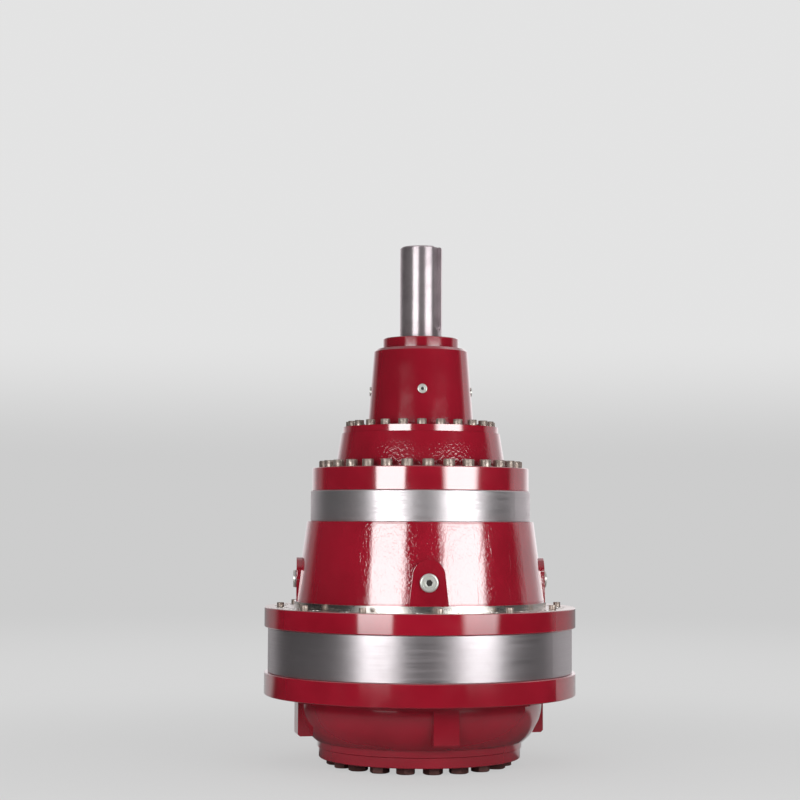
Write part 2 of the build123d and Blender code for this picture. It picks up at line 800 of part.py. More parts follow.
with BuildPart() as intermediate_housing:
    with BuildSketch(Plane.XZ):
        Polygon(
            (0, ring_3_top),
            (flange_radius, ring_3_top),
            (flange_radius, upper_flange_top),
            (register_radius, upper_flange_top),
            (register_radius, cone_bottom),
            (cone_bottom_radius, cone_bottom),
            (cone_top_radius, ring_2_bottom),
            (0, ring_2_bottom),
            align=None,
        )
    revolve(axis=Axis.Z)
    upper_edges = intermediate_housing.edges().filter_by(GeomType.CIRCLE)
    chamfer(upper_edges.filter_by(lambda edge: abs(edge.radius - flange_radius) < 0.01), edge_chamfer)
    # Plug bosses with an arched top
    for direction in quarter_directions(oil_plug_direction):
        boss_foot = boss_arch_level - cone_bottom
        with BuildSketch(radial_plane(direction, inside_cone(cone_bottom) - 2, boss_arch_level)):
            Circle(boss_width / 2)
            Polygon(
                (-boss_width / 2, 0),
                (-boss_foot_width / 2, -boss_foot),
                (boss_foot_width / 2, -boss_foot),
                (boss_width / 2, 0),
                align=None,
            )
        extrude(amount=boss_face_radius - inside_cone(cone_bottom) + 2)
    # Centring rings for both ring gears
    with BuildSketch(Plane.XY.offset(ring_3_top)):
        Circle(ring_3_register_radius - press_gap)
    extrude(amount=-ring_3_register_depth)
    with BuildSketch(Plane.XY.offset(ring_2_bottom)):
        Circle(ring_2_register_radius - press_gap)
    extrude(amount=ring_2_register_depth)
    # Room under the web
    with BuildSketch(Plane.XZ):
        Polygon(
            (0, ring_3_top - ring_3_register_depth),
            (ring_3_register_radius - register_wall, ring_3_top - ring_3_register_depth),
            (ring_3_register_radius - register_wall, ring_3_top + 1),
            (carrier_3_room, ring_3_top + 1),
            (carrier_3_room, cone_room),
            (inside_cone(cone_room + 8), cone_room + 8),
            (inside_cone(web_bottom), web_bottom),
            (0, web_bottom),
            align=None,
        )
    revolve(axis=Axis.Z, mode=Mode.SUBTRACT)
    # Room over the web, up to the land for the cover screws
    with BuildSketch(Plane.XZ):
        Polygon(
            (0, web_top),
            (inside_cone(web_top), web_top),
            (inside_cone(land_bottom - 12), land_bottom - 12),
            (screw_land_radius, land_bottom),
            (screw_land_radius, ring_2_bottom + ring_2_register_depth),
            (0, ring_2_bottom + ring_2_register_depth),
            align=None,
        )
    revolve(axis=Axis.Z, mode=Mode.SUBTRACT)
    # Seat of the middle bearing in the web
    with BuildSketch(Plane.XY.offset(middle_bearing_bottom - middle_seat_lip)):
        Circle(middle_bearing_outer + middle_seat_wall)
    extrude(amount=middle_bearing_width + middle_seat_lip)
    with BuildSketch(Plane.XY.offset(middle_bearing_bottom - middle_seat_lip)):
        Circle(middle_bearing_outer - middle_seat_lip)
    extrude(amount=middle_seat_lip, mode=Mode.SUBTRACT)
    with BuildSketch(Plane.XY.offset(middle_bearing_bottom)):
        Circle(middle_bearing_outer + press_gap)
    extrude(amount=middle_bearing_width, mode=Mode.SUBTRACT)
    # Oil holes through the web
    with BuildSketch(Plane.XY.offset(web_bottom)):
        with PolarLocations(web_hole_circle_radius, web_hole_count):
            Circle(web_hole_radius)
    extrude(amount=web_thickness, mode=Mode.SUBTRACT)
    # Threaded holes of the oil plugs
    for direction in quarter_directions(oil_plug_direction):
        with BuildSketch(radial_plane(direction, boss_face_radius, oil_plug_level)):
            Circle(oil_plug_thread_radius + thread_gap)
        extrude(amount=-boss_face_radius + inside_cone(oil_plug_level) - 4, mode=Mode.SUBTRACT)
    # Groove for the joint seal
    with BuildSketch(Plane.XY.offset(ring_3_top)):
        Circle(seal_ring_3_radius + seal_ring_section / 2 + seal_groove_room)
        Circle(seal_ring_3_radius - seal_ring_section / 2 - seal_groove_room, mode=Mode.SUBTRACT)
    extrude(amount=seal_ring_section, mode=Mode.SUBTRACT)
    # Screw holes
    with BuildSketch(Plane.XY.offset(ring_3_top)):
        with PolarLocations(mounting_circle_radius, mounting_hole_count, start_angle=front):
            Circle(mounting_hole_radius)
        with PolarLocations(
            mounting_circle_radius, flange_screw_count, start_angle=front + upper_flange_screw_direction
        ):
            Circle(m6_radius + hole_allowance)
    extrude(amount=upper_flange_thickness, mode=Mode.SUBTRACT)
    with BuildSketch(Plane.XY.offset(ring_2_bottom)):
        with PolarLocations(
            cover_screw_circle_radius, cover_screw_count, start_angle=front + cover_screw_direction
        ):
            Circle(m10_radius + thread_gap)
    extrude(amount=-cover_screw_depth, mode=Mode.SUBTRACT)
save(intermediate_housing, "intermediate_housing")

# Oil plugs with hexagon sockets, each on a sealing washer
with BuildPart() as oil_plug_washers:
    for direction in quarter_directions(oil_plug_direction):
        with BuildSketch(radial_plane(direction, boss_face_radius, oil_plug_level)):
            Circle(oil_washer_radius)
            Circle(oil_plug_thread_radius + thread_gap, mode=Mode.SUBTRACT)
        extrude(amount=oil_washer_thickness)
save(oil_plug_washers, "oil_plug_washers")

with BuildPart() as oil_plugs:
    for direction in quarter_directions(oil_plug_direction):
        seat = radial_plane(direction, boss_face_radius + oil_washer_thickness, oil_plug_level)
        with BuildSketch(seat):
            Circle(oil_plug_head_radius)
        extrude(amount=oil_plug_head_height)
        with BuildSketch(seat):
            Circle(oil_plug_thread_radius)
        extrude(amount=-oil_plug_thread_length)
        with BuildSketch(seat.offset(oil_plug_head_height)):
            RegularPolygon(oil_plug_socket / 2, 6, major_radius=False)
        extrude(amount=-oil_plug_socket_depth, mode=Mode.SUBTRACT)
save(oil_plugs, "oil_plugs")


def roller_bearing(name, bore, outer, width, bottoms, radius, count):
    """Races and rollers of cylindrical roller bearings of one size, one at each bottom level."""
    mean_radius = (bore + outer) / 2
    inner_raceway = mean_radius - radius - running_gap
    outer_raceway = mean_radius + radius + running_gap
    rib = radius / 2
    roller_room = 2 * radius + 2 * running_gap
    plural = "s" if len(bottoms) > 1 else ""
    with BuildPart() as outer_races:
        for bottom in bottoms:
            with BuildSketch(Plane.XY.offset(bottom)):
                Circle(outer)
                Circle(outer_raceway - rib, mode=Mode.SUBTRACT)
            extrude(amount=width)
            with BuildSketch(Plane.XY.offset(bottom + (width - roller_room) / 2)):
                Circle(outer_raceway)
                Circle(outer_raceway - rib, mode=Mode.SUBTRACT)
            extrude(amount=roller_room, mode=Mode.SUBTRACT)
    save(outer_races, f"{name}_outer_race{plural}")
    with BuildPart() as inner_races:
        for bottom in bottoms:
            with BuildSketch(Plane.XY.offset(bottom)):
                Circle(inner_raceway)
                Circle(bore + press_gap, mode=Mode.SUBTRACT)
            extrude(amount=width)
    save(inner_races, f"{name}_inner_race{plural}")
    with BuildPart() as rollers:
        for bottom in bottoms:
            with BuildSketch(Plane.XY.offset(bottom + width / 2 - radius)):
                with PolarLocations(mean_radius, count):
                    Circle(radius)
            extrude(amount=2 * radius)
    save(rollers, f"{name}_rollers")


roller_bearing(
    "middle_bearing",
    middle_bearing_bore,
    middle_bearing_outer,
    middle_bearing_width,
    [middle_bearing_bottom],
    middle_roller_radius,
    middle_roller_count,
)

# Stage 3 sun gear on its long shank
with BuildPart() as stage_3_sun_gear:
    sun_3_face = gear_face(sun_3_teeth, module_3, addendum, dedendum, flank_play)
    with BuildSketch(Plane.XY.offset(planet_3_bottom)):
        add(sun_3_face)
    extrude(amount=planet_3_width)
    with BuildSketch(Plane.XY.offset(planet_3_bottom + planet_3_width)):
        Circle(sun_3_shank_radius)
    extrude(amount=sun_3_shank_top - planet_3_bottom - planet_3_width)
    with BuildSketch(Plane.XY.offset(sun_3_shank_top)):
        Circle(sun_3_spline_radius)
    extrude(amount=sun_3_top - sun_3_shank_top)
save(stage_3_sun_gear, "stage_3_sun_gear")

# Stage 2 carrier: hub in the middle bearing, two plates and the bridges between the planets
planet_2_bottom = ring_2_bottom + ring_2_register_depth + clear_gap
planet_2_width = ring_2_width - 2 * ring_2_register_depth - 2 * clear_gap
carrier_2_floor = planet_2_bottom - clear_gap
carrier_2_ceiling = planet_2_bottom + planet_2_width + clear_gap
carrier_2_bottom = carrier_2_floor - carrier_2_lower_plate
carrier_2_top = carrier_2_ceiling + carrier_2_upper_plate
window_2_radius = module_2 * (planet_2_teeth / 2 + addendum) + carrier_2_window_gap
middle_bearing_top = middle_bearing_bottom + middle_bearing_width
with BuildPart() as stage_2_carrier:
    with BuildSketch(Plane.XZ):
        Polygon(
            (0, middle_bearing_bottom - 2),
            (middle_bearing_bore, middle_bearing_bottom - 2),
            (middle_bearing_bore, middle_bearing_top),
            (carrier_2_hub_radius, middle_bearing_top),
            (carrier_2_hub_radius, carrier_2_bottom),
            (carrier_2_radius, carrier_2_bottom),
            (carrier_2_radius, carrier_2_floor),
            (0, carrier_2_floor),
            align=None,
        )
    revolve(axis=Axis.Z)
    with BuildSketch(Plane.XY.offset(carrier_2_floor)):
        Circle(carrier_2_radius)
        Circle(carrier_2_bridge_inner, mode=Mode.SUBTRACT)
        with PolarLocations(orbit_2, planet_2_count):
            Circle(window_2_radius, mode=Mode.SUBTRACT)
    extrude(amount=carrier_2_ceiling - carrier_2_floor)
    with BuildSketch(Plane.XY.offset(carrier_2_ceiling)):
        Circle(carrier_2_radius)
        Circle(carrier_2_bore, mode=Mode.SUBTRACT)
    extrude(amount=carrier_2_upper_plate)
    with BuildSketch(Plane.XY.offset(carrier_2_bottom + 2)):
        with PolarLocations(orbit_2, planet_2_count):
            Circle(pin_2_radius + press_gap)
    extrude(amount=carrier_2_top - carrier_2_bottom - 2, mode=Mode.SUBTRACT)
    with BuildSketch(Plane.XY.offset(middle_bearing_bottom - 2)):
        Circle(sun_3_spline_radius + press_gap)
    extrude(amount=sun_3_top - middle_bearing_bottom + 2, mode=Mode.SUBTRACT)
save(stage_2_carrier, "stage_2_carrier")

# Stage 2: ring gear, pins, bushes and planets
with BuildPart() as stage_2_ring_gear:
    opening_2 = ring_gear_opening(ring_2_teeth, module_2, planet_2_teeth % 2 == 0)
    with BuildSketch(Plane.XY.offset(ring_2_bottom)):
        Circle(ring_2_radius)
        add(opening_2, mode=Mode.SUBTRACT)
        with PolarLocations(
            cover_screw_circle_radius, cover_screw_count, start_angle=front + cover_screw_direction
        ):
            Circle(m10_radius + hole_allowance, mode=Mode.SUBTRACT)
    extrude(amount=ring_2_width)
    band_edges = stage_2_ring_gear.edges().filter_by(GeomType.CIRCLE)
    chamfer(band_edges.filter_by(lambda edge: abs(edge.radius - ring_2_radius) < 0.01), edge_chamfer)
    for level in (ring_2_bottom, ring_2_top - ring_2_register_depth):
        with BuildSketch(Plane.XY.offset(level)):
            Circle(ring_2_register_radius)
        extrude(amount=ring_2_register_depth, mode=Mode.SUBTRACT)
save(stage_2_ring_gear, "stage_2_ring_gear")

planet_pins(
    "stage_2_planet_pins", orbit_2, planet_2_count, pin_2_radius, carrier_2_bottom + 2, carrier_2_top - 1
)
with BuildPart() as stage_2_planet_bushes:
    with BuildSketch(Plane.XY.offset(planet_2_bottom)):
        with PolarLocations(orbit_2, planet_2_count):
            Circle(pin_2_radius + bush_2_wall)
            Circle(pin_2_radius + press_gap, mode=Mode.SUBTRACT)
    extrude(amount=planet_2_width)
save(stage_2_planet_bushes, "stage_2_planet_bushes")
planet_gears(
    "stage_2_planet_gear",
    planet_2_teeth,
    module_2,
    orbit_2,
    planet_2_count,
    pin_2_radius + bush_2_wall + running_gap,
    planet_2_bottom,
    planet_2_width,
)

# Upper cover over stage 2, which holds the ring gear of stage 1
ring_1_top = input_flange_bottom - ring_1_shoulder
ring_1_bottom = ring_1_top - ring_1_width
circlip_1_bottom = ring_1_bottom - circlip_width
carrier_2_room_top = carrier_2_top + 4
with BuildPart() as upper_cover:
    with BuildSketch(Plane.XZ):
        Polygon(
            (0, ring_2_top),
            (cover_flange_radius, ring_2_top),
            (cover_flange_radius, cover_flange_top),
            (cover_cone_bottom_radius, cover_flange_top),
            (cover_cone_top_radius, input_flange_bottom),
            (0, input_flange_bottom),
            align=None,
        )
    revolve(axis=Axis.Z)
    cover_edges = upper_cover.edges().filter_by(GeomType.CIRCLE)
    chamfer(cover_edges.filter_by(lambda edge: abs(edge.radius - cover_flange_radius) < 0.01), edge_chamfer)
    fillet(
        cover_edges.filter_by(lambda edge: abs(edge.radius - cover_cone_bottom_radius) < 0.01), casting_fillet
    )
    with BuildSketch(Plane.XY.offset(ring_2_top)):
        Circle(ring_2_register_radius - press_gap)
    extrude(amount=-ring_2_register_depth)
    with BuildSketch(Plane.XY.offset(ring_2_top - ring_2_register_depth)):
        Circle(ring_2_register_radius - register_wall)
    extrude(amount=ring_2_register_depth, mode=Mode.SUBTRACT)
    with BuildSketch(Plane.XY.offset(ring_2_top)):
        Circle(carrier_2_room)
    extrude(amount=carrier_2_room_top - ring_2_top, mode=Mode.SUBTRACT)
    with BuildSketch(Plane.XY.offset(carrier_2_room_top)):
        Circle(ring_1_radius + press_gap)
    extrude(amount=ring_1_top - carrier_2_room_top, mode=Mode.SUBTRACT)
    with BuildSketch(Plane.XY.offset(circlip_1_bottom)):
        Circle(ring_1_radius + circlip_bite + press_gap)
    extrude(amount=circlip_width, mode=Mode.SUBTRACT)
    with BuildSketch(Plane.XY.offset(ring_1_top)):
        Circle(ring_1_shoulder_radius)
    extrude(amount=ring_1_shoulder, mode=Mode.SUBTRACT)
    with BuildSketch(Plane.XY.offset(ring_2_top)):
        with PolarLocations(
            cover_screw_circle_radius, cover_screw_count, start_angle=front + cover_screw_direction
        ):
            Circle(m10_radius + hole_allowance)
    extrude(amount=cover_flange_thickness, mode=Mode.SUBTRACT)
    with BuildSketch(Plane.XY.offset(input_flange_bottom)):
        with PolarLocations(
            input_screw_circle_radius, input_screw_count, start_angle=front + input_screw_direction
        ):
            Circle(m8_radius + thread_gap)
    extrude(amount=-input_screw_depth, mode=Mode.SUBTRACT)
save(upper_cover, "upper_cover")


def circlip(name, seat_radius, bottom):
    """A snap ring in the groove of a bore, open on one side."""
    outer = seat_radius + circlip_bite
    inner = seat_radius - circlip_reach
    gap = 4 * circlip_width
    with BuildPart() as ring:
        with BuildSketch(Plane.XY.offset(bottom)):
            Circle(outer)
            Circle(inner, mode=Mode.SUBTRACT)
            with Locations((0, inner)):
                Rectangle(gap, 4 * circlip_reach, mode=Mode.SUBTRACT)
        extrude(amount=circlip_width)
    save(ring, name)


# Stage 1: ring gear and the snap ring that holds it
ring_1_opening = ring_gear_opening(ring_1_teeth, module_1, planet_1_teeth % 2 == 0)
with BuildPart() as stage_1_ring_gear:
    with BuildSketch(Plane.XY.offset(ring_1_bottom)):
        Circle(ring_1_radius)
        add(ring_1_opening, mode=Mode.SUBTRACT)
    extrude(amount=ring_1_width)
save(stage_1_ring_gear, "stage_1_ring_gear")
circlip("stage_1_ring_circlip", ring_1_radius, circlip_1_bottom)

# Stage 1 carrier with the sun gear of stage 2 in its hub
planet_1_bottom = ring_1_bottom + 1
planet_1_width = ring_1_width - 2
carrier_1_floor = planet_1_bottom - clear_gap
carrier_1_ceiling = planet_1_bottom + planet_1_width + clear_gap
carrier_1_bottom = carrier_2_top + carriers_gap
carrier_1_top = carrier_1_ceiling + carrier_1_upper_plate
window_1_radius = module_1 * (planet_1_teeth / 2 + addendum) + carrier_1_window_gap
carrier_1_hub_bottom = carrier_1_bottom - carrier_1_hub_length
with BuildPart() as stage_1_carrier:
    with BuildSketch(Plane.XY.offset(carrier_1_bottom)):
        Circle(carrier_1_radius)
    extrude(amount=carrier_1_floor - carrier_1_bottom)
    with BuildSketch(Plane.XY.offset(carrier_1_hub_bottom)):
        Circle(carrier_1_hub_radius)
    extrude(amount=carrier_1_hub_length)
    with BuildSketch(Plane.XY.offset(carrier_1_floor)):
        Circle(carrier_1_radius)
        Circle(carrier_1_bridge_inner, mode=Mode.SUBTRACT)
        with PolarLocations(orbit_1, planet_1_count):
            Circle(window_1_radius, mode=Mode.SUBTRACT)
    extrude(amount=carrier_1_ceiling - carrier_1_floor)
    with BuildSketch(Plane.XY.offset(carrier_1_ceiling)):
        Circle(carrier_1_radius)
        Circle(carrier_1_bore, mode=Mode.SUBTRACT)
    extrude(amount=carrier_1_upper_plate)
    with BuildSketch(Plane.XY.offset(carrier_1_bottom + 2)):
        with PolarLocations(orbit_1, planet_1_count):
            Circle(pin_1_radius + press_gap)
    extrude(amount=carrier_1_top - carrier_1_bottom - 2, mode=Mode.SUBTRACT)
    with BuildSketch(Plane.XY.offset(carrier_1_hub_bottom)):
        Circle(sun_2_shank_radius + press_gap)
    extrude(amount=carrier_1_floor - carrier_1_hub_bottom, mode=Mode.SUBTRACT)
save(stage_1_carrier, "stage_1_carrier")

with BuildPart() as stage_2_sun_gear:
    sun_2_face = gear_face(sun_2_teeth, module_2, addendum, dedendum, flank_play)
    with BuildSketch(Plane.XY.offset(planet_2_bottom)):
        add(sun_2_face)
    extrude(amount=planet_2_width)
    with BuildSketch(Plane.XY.offset(planet_2_bottom + planet_2_width)):
        Circle(sun_2_shank_radius)
    extrude(amount=carrier_1_floor - 1 - planet_2_bottom - planet_2_width)
save(stage_2_sun_gear, "stage_2_sun_gear")

planet_pins(
    "stage_1_planet_pins", orbit_1, planet_1_count, pin_1_radius, carrier_1_bottom + 2, carrier_1_top - 1
)
planet_gears(
    "stage_1_planet_gear",
    planet_1_teeth,
    module_1,
    orbit_1,
    planet_1_count,
    pin_1_radius + running_gap,
    planet_1_bottom,
    planet_1_width,
)

# Input housing: flange, cone with four plugs, neck with the shaft seal
bearing_1_bottom = input_flange_bottom + input_bearing_floor
bearing_1_top = bearing_1_bottom + input_bearing_span
upper_bearing_1_bottom = bearing_1_top - input_bearing_width
seal_bottom = neck_top - 1 - input_seal_width
with BuildPart() as input_housing:
    with BuildSketch(Plane.XZ):
        Polygon(
            (0, input_flange_bottom),
            (input_flange_radius, input_flange_bottom),
            (input_flange_radius, input_flange_top),
            (input_cone_bottom_radius, input_flange_top),
            (input_cone_top_radius, neck_bottom),
            (neck_radius, neck_bottom),
            (neck_radius, neck_top),
            (0, neck_top),
            align=None,
        )
    revolve(axis=Axis.Z)
    neck_edges = input_housing.edges().filter_by(GeomType.CIRCLE)
    shoulder_edge = neck_edges.filter_by(lambda edge: abs(edge.radius - input_cone_top_radius) < 0.01)
    chamfer(shoulder_edge, shoulder_chamfer)
    cone_foot = neck_edges.filter_by(lambda edge: abs(edge.radius - input_cone_bottom_radius) < 0.01)
    fillet(cone_foot, casting_fillet)
    neck_rim = input_housing.edges().filter_by(GeomType.CIRCLE).group_by(Axis.Z)[-1]
    chamfer(neck_rim, edge_chamfer)
    with BuildSketch(Plane.XY.offset(input_flange_bottom)):
        Circle(ring_1_shoulder_radius - press_gap)
        Circle(ring_1_shoulder_radius - input_spigot_wall, mode=Mode.SUBTRACT)
    extrude(amount=-input_spigot_height)
    with BuildSketch(Plane.XY.offset(input_flange_bottom)):
        Circle(input_bearing_outer + press_gap)
    extrude(amount=bearing_1_top - input_flange_bottom, mode=Mode.SUBTRACT)
    with BuildSketch(Plane.XY.offset(bearing_1_bottom - circlip_width)):
        Circle(input_bearing_outer + circlip_bite + press_gap)
    extrude(amount=circlip_width, mode=Mode.SUBTRACT)
    with BuildSketch(Plane.XY.offset(bearing_1_top)):
        Circle(input_seal_lip_radius)
    extrude(amount=seal_bottom - bearing_1_top, mode=Mode.SUBTRACT)
    with BuildSketch(Plane.XY.offset(seal_bottom)):
        Circle(input_seal_radius + press_gap)
    extrude(amount=neck_top - seal_bottom, mode=Mode.SUBTRACT)
    with BuildSketch(Plane.XY.offset(input_flange_bottom)):
        with PolarLocations(
            input_screw_circle_radius, input_screw_count, start_angle=front + input_screw_direction
        ):
            Circle(m8_radius + hole_allowance)
    extrude(amount=input_flange_thickness, mode=Mode.SUBTRACT)
    # Spot faces and threads of the small plugs
    for direction in quarter_directions(input_plug_direction):
        seat = radial_plane(direction, input_plug_seat_radius, input_plug_level)
        with BuildSketch(seat):
            Circle(input_plug_head_radius + input_plug_seat_room)
        extrude(amount=input_plug_head_radius, mode=Mode.SUBTRACT)
        with BuildSketch(seat):
            Circle(input_plug_thread_radius + thread_gap)
        extrude(amount=input_bearing_outer - input_plug_seat_radius - 4, mode=Mode.SUBTRACT)
save(input_housing, "input_housing")

with BuildPart() as input_plugs:
    for direction in quarter_directions(input_plug_direction):
        seat = radial_plane(direction, input_plug_seat_radius, input_plug_level)
        with BuildSketch(seat):
            Circle(input_plug_head_radius)
        extrude(amount=input_plug_head_height)
        with BuildSketch(seat):
            Circle(input_plug_thread_radius)
        extrude(amount=-input_plug_thread_length)
save(input_plugs, "input_plugs")

roller_bearing(
    "input_bearing",
    input_bearing_bore,
    input_bearing_outer,
    input_bearing_width,
    [bearing_1_bottom, upper_bearing_1_bottom],
    input_roller_radius,
    input_roller_count,
)
circlip("input_bearing_circlip", input_bearing_outer, bearing_1_bottom - circlip_width)

# Spacer between the outer races, with an oil hole behind each plug
with BuildPart() as input_bearing_spacer:
    with BuildSketch(Plane.XY.offset(bearing_1_bottom + input_bearing_width)):
        Circle(input_bearing_outer)
        Circle(input_bearing_outer - input_spacer_wall, mode=Mode.SUBTRACT)
    extrude(amount=input_bearing_span - 2 * input_bearing_width)
    for direction in quarter_directions(input_plug_direction):
        with BuildSketch(radial_plane(direction, 0, input_plug_level)):
            Circle(input_plug_thread_radius)
        extrude(amount=input_bearing_outer + 1, mode=Mode.SUBTRACT)
save(input_bearing_spacer, "input_bearing_spacer")

input_shaft_seal = turned_ring(
    input_seal_track_radius + seal_gap, input_seal_radius, seal_bottom, input_seal_width
)
save(input_shaft_seal, "input_shaft_seal")

# Input shaft with its shoulder between the bearings, the bore for the sun gear and the open keyway
input_shaft_bottom = bearing_1_bottom - input_shaft_bottom_gap
planet_1_top = planet_1_bottom + planet_1_width
sun_1_top = planet_1_top + sun_1_shank_length
seal_track_top = neck_top - 1
with BuildPart() as input_shaft:
    with BuildSketch(Plane.XZ):
        Polygon(
            (0, input_shaft_bottom),
            (input_bearing_bore, input_shaft_bottom),
            (input_bearing_bore, bearing_1_bottom + input_bearing_width),
            (input_shoulder_radius, bearing_1_bottom + input_bearing_width),
            (input_shoulder_radius, upper_bearing_1_bottom),
            (input_bearing_bore, upper_bearing_1_bottom),
            (input_bearing_bore, bearing_1_top),
            (input_seal_track_radius, bearing_1_top),
            (input_seal_track_radius, seal_track_top),
            (input_shaft_radius, seal_track_top),
            (input_shaft_radius, shaft_top),
            (0, shaft_top),
            align=None,
        )
    revolve(axis=Axis.Z)
    chamfer(input_shaft.edges().group_by(Axis.Z)[-1], shaft_chamfer)
    with BuildSketch(Plane.XY.offset(input_shaft_bottom)):
        Circle(sun_1_shank_radius + press_gap)
    extrude(amount=sun_1_top - input_shaft_bottom, mode=Mode.SUBTRACT)
    keyway_plane = radial_plane(keyway_direction, input_shaft_radius - keyway_depth, shaft_top)
    with BuildSketch(keyway_plane):
        Rectangle(
            keyway_width, keyway_length - keyway_width / 2, align=(Align.CENTER, Align.MAX)
        )
        with Locations((0, keyway_width / 2 - keyway_length)):
            Circle(keyway_width / 2)
    extrude(amount=keyway_depth + 1, mode=Mode.SUBTRACT)
save(input_shaft, "input_shaft")

# Stage 1 sun gear, its shank held in the input shaft
with BuildPart() as stage_1_sun_gear:
    sun_1_face = gear_face(sun_1_teeth, module_1, addendum, dedendum, flank_play)
    with BuildSketch(Plane.XY.offset(planet_1_bottom)):
        add(sun_1_face)
    extrude(amount=planet_1_width)
    with BuildSketch(Plane.XY.offset(planet_1_top)):
        Circle(sun_1_shank_radius)
    extrude(amount=sun_1_shank_length)
save(stage_1_sun_gear, "stage_1_sun_gear")

# Seals in the joints on both sides of the stage 3 ring gear
with BuildPart() as joint_seal_rings:
    for level, up in ((ring_3_bottom, -1), (ring_3_top, 1)):
        with BuildSketch(Plane.XY.offset(level)):
            Circle(seal_ring_3_radius + seal_ring_section / 2)
            Circle(seal_ring_3_radius - seal_ring_section / 2, mode=Mode.SUBTRACT)
        extrude(amount=up * (seal_ring_section - seal_groove_room))
save(joint_seal_rings, "joint_seal_rings")

# Screws on the outside
cap_screws(
    "upper_cover_screws",
    cover_screw_count,
    cover_screw_circle_radius,
    cover_screw_direction,
    cover_flange_top,
    cover_flange_thickness + ring_2_width + cover_screw_depth - 2,
    m10_radius,
    m10_head_radius,
    m10_head_height,
)
cap_screws(
    "input_housing_screws",
    input_screw_count,
    input_screw_circle_radius,
    input_screw_direction,
    input_flange_top,
    input_flange_thickness + input_screw_depth - 2,
    m8_radius,
    m8_head_radius,
    m8_head_height,
)
cap_screws(
    "upper_flange_screws",
    flange_screw_count,
    mounting_circle_radius,
    upper_flange_screw_direction,
    upper_flange_top,
    upper_flange_thickness + flange_screw_depth - 2,
    m6_radius,
    m6_head_radius,
    m6_head_height,
)
# Screws let in flush under the lower flange, pointing up
with BuildPart() as lower_flange_screws:
    screw_seat = lower_flange_bottom + m6_head_height + hole_allowance
    with BuildSketch(Plane.XY.offset(screw_seat)):
        with PolarLocations(
            mounting_circle_radius, flange_screw_count, start_angle=front + lower_flange_screw_direction
        ):
            Circle(m6_head_radius)
    extrude(amount=-m6_head_height)
    with BuildSketch(Plane.XY.offset(screw_seat)):
        with PolarLocations(
            mounting_circle_radius, flange_screw_count, start_angle=front + lower_flange_screw_direction
        ):
            Circle(m6_radius)
    extrude(amount=ring_3_bottom + flange_screw_depth - 2 - screw_seat)
save(lower_flange_screws, "lower_flange_screws")
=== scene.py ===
import json
from math import cos, pi, radians, sin, sqrt, tan

import bmesh
import bpy
from bpy.props import FloatProperty, FloatVectorProperty, IntProperty, PointerProperty
from mathutils import Matrix, Vector


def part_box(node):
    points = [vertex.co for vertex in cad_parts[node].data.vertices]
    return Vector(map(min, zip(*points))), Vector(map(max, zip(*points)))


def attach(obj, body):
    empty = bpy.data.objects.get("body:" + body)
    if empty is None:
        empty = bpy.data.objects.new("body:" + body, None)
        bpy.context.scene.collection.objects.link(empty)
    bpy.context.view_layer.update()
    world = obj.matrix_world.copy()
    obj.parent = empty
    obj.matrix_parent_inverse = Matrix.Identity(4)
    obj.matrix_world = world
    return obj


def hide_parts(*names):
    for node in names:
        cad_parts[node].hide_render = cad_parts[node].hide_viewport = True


bl_info = {
    "name": "Planetary Gearbox",
    "version": (1, 0, 0),
    "blender": (4, 5, 0),
    "location": "View3D > Sidebar > Gearbox",
    "description": "Builds the finishes, screws, plugs and studio of an upright planetary gearbox",
    "category": "Object",
}

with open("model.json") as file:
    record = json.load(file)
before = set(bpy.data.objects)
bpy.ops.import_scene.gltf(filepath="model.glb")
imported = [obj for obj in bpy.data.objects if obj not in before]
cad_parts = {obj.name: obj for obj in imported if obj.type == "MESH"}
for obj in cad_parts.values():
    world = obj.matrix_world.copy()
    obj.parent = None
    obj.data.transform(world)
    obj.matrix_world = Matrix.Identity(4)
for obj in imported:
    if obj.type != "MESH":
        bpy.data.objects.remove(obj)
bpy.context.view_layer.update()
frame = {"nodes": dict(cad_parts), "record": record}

# The camera's side of the gearbox, from which the directions below are counted
FRONT = radians(-57)

# Degrees from there to the first piece of each circle
COVER_SCREW_START = 4.5
INPUT_SCREW_START = 1.0
UPPER_FLANGE_SCREW_START = 7.5
LOWER_FLANGE_SCREW_START = 22.5
BASE_SCREW_START = 9.0
OIL_PLUG_START = 4.0
INPUT_PLUG_START = 2.0

# Levels and radii between which a finish changes, in metres
BASE_HEAD_TOP = 0.010
LOWER_FLANGE_BOTTOM = 0.098
UPPER_FLANGE_TOP = 0.220
CONE_BOTTOM = 0.228
CONE_TOP = 0.340
COVER_CONE_BOTTOM = 0.4155
REGISTER_RADIUS = 0.1785
BOLT_HOLES_INNER_RADIUS = 0.185
BOLT_HOLES_OUTER_RADIUS = 0.212

# The photo's camera
PHOTO_WIDTH = 800
FOCAL_LENGTH = 1848  # also in pixels of the photo
CAMERA_DISTANCE = 2.64
CAMERA_HEIGHT = 0.341
CAMERA_TILT = radians(3.746)
CAMERA_PAN = radians(0.64)
CAMERA_ROLL = radians(0.25)


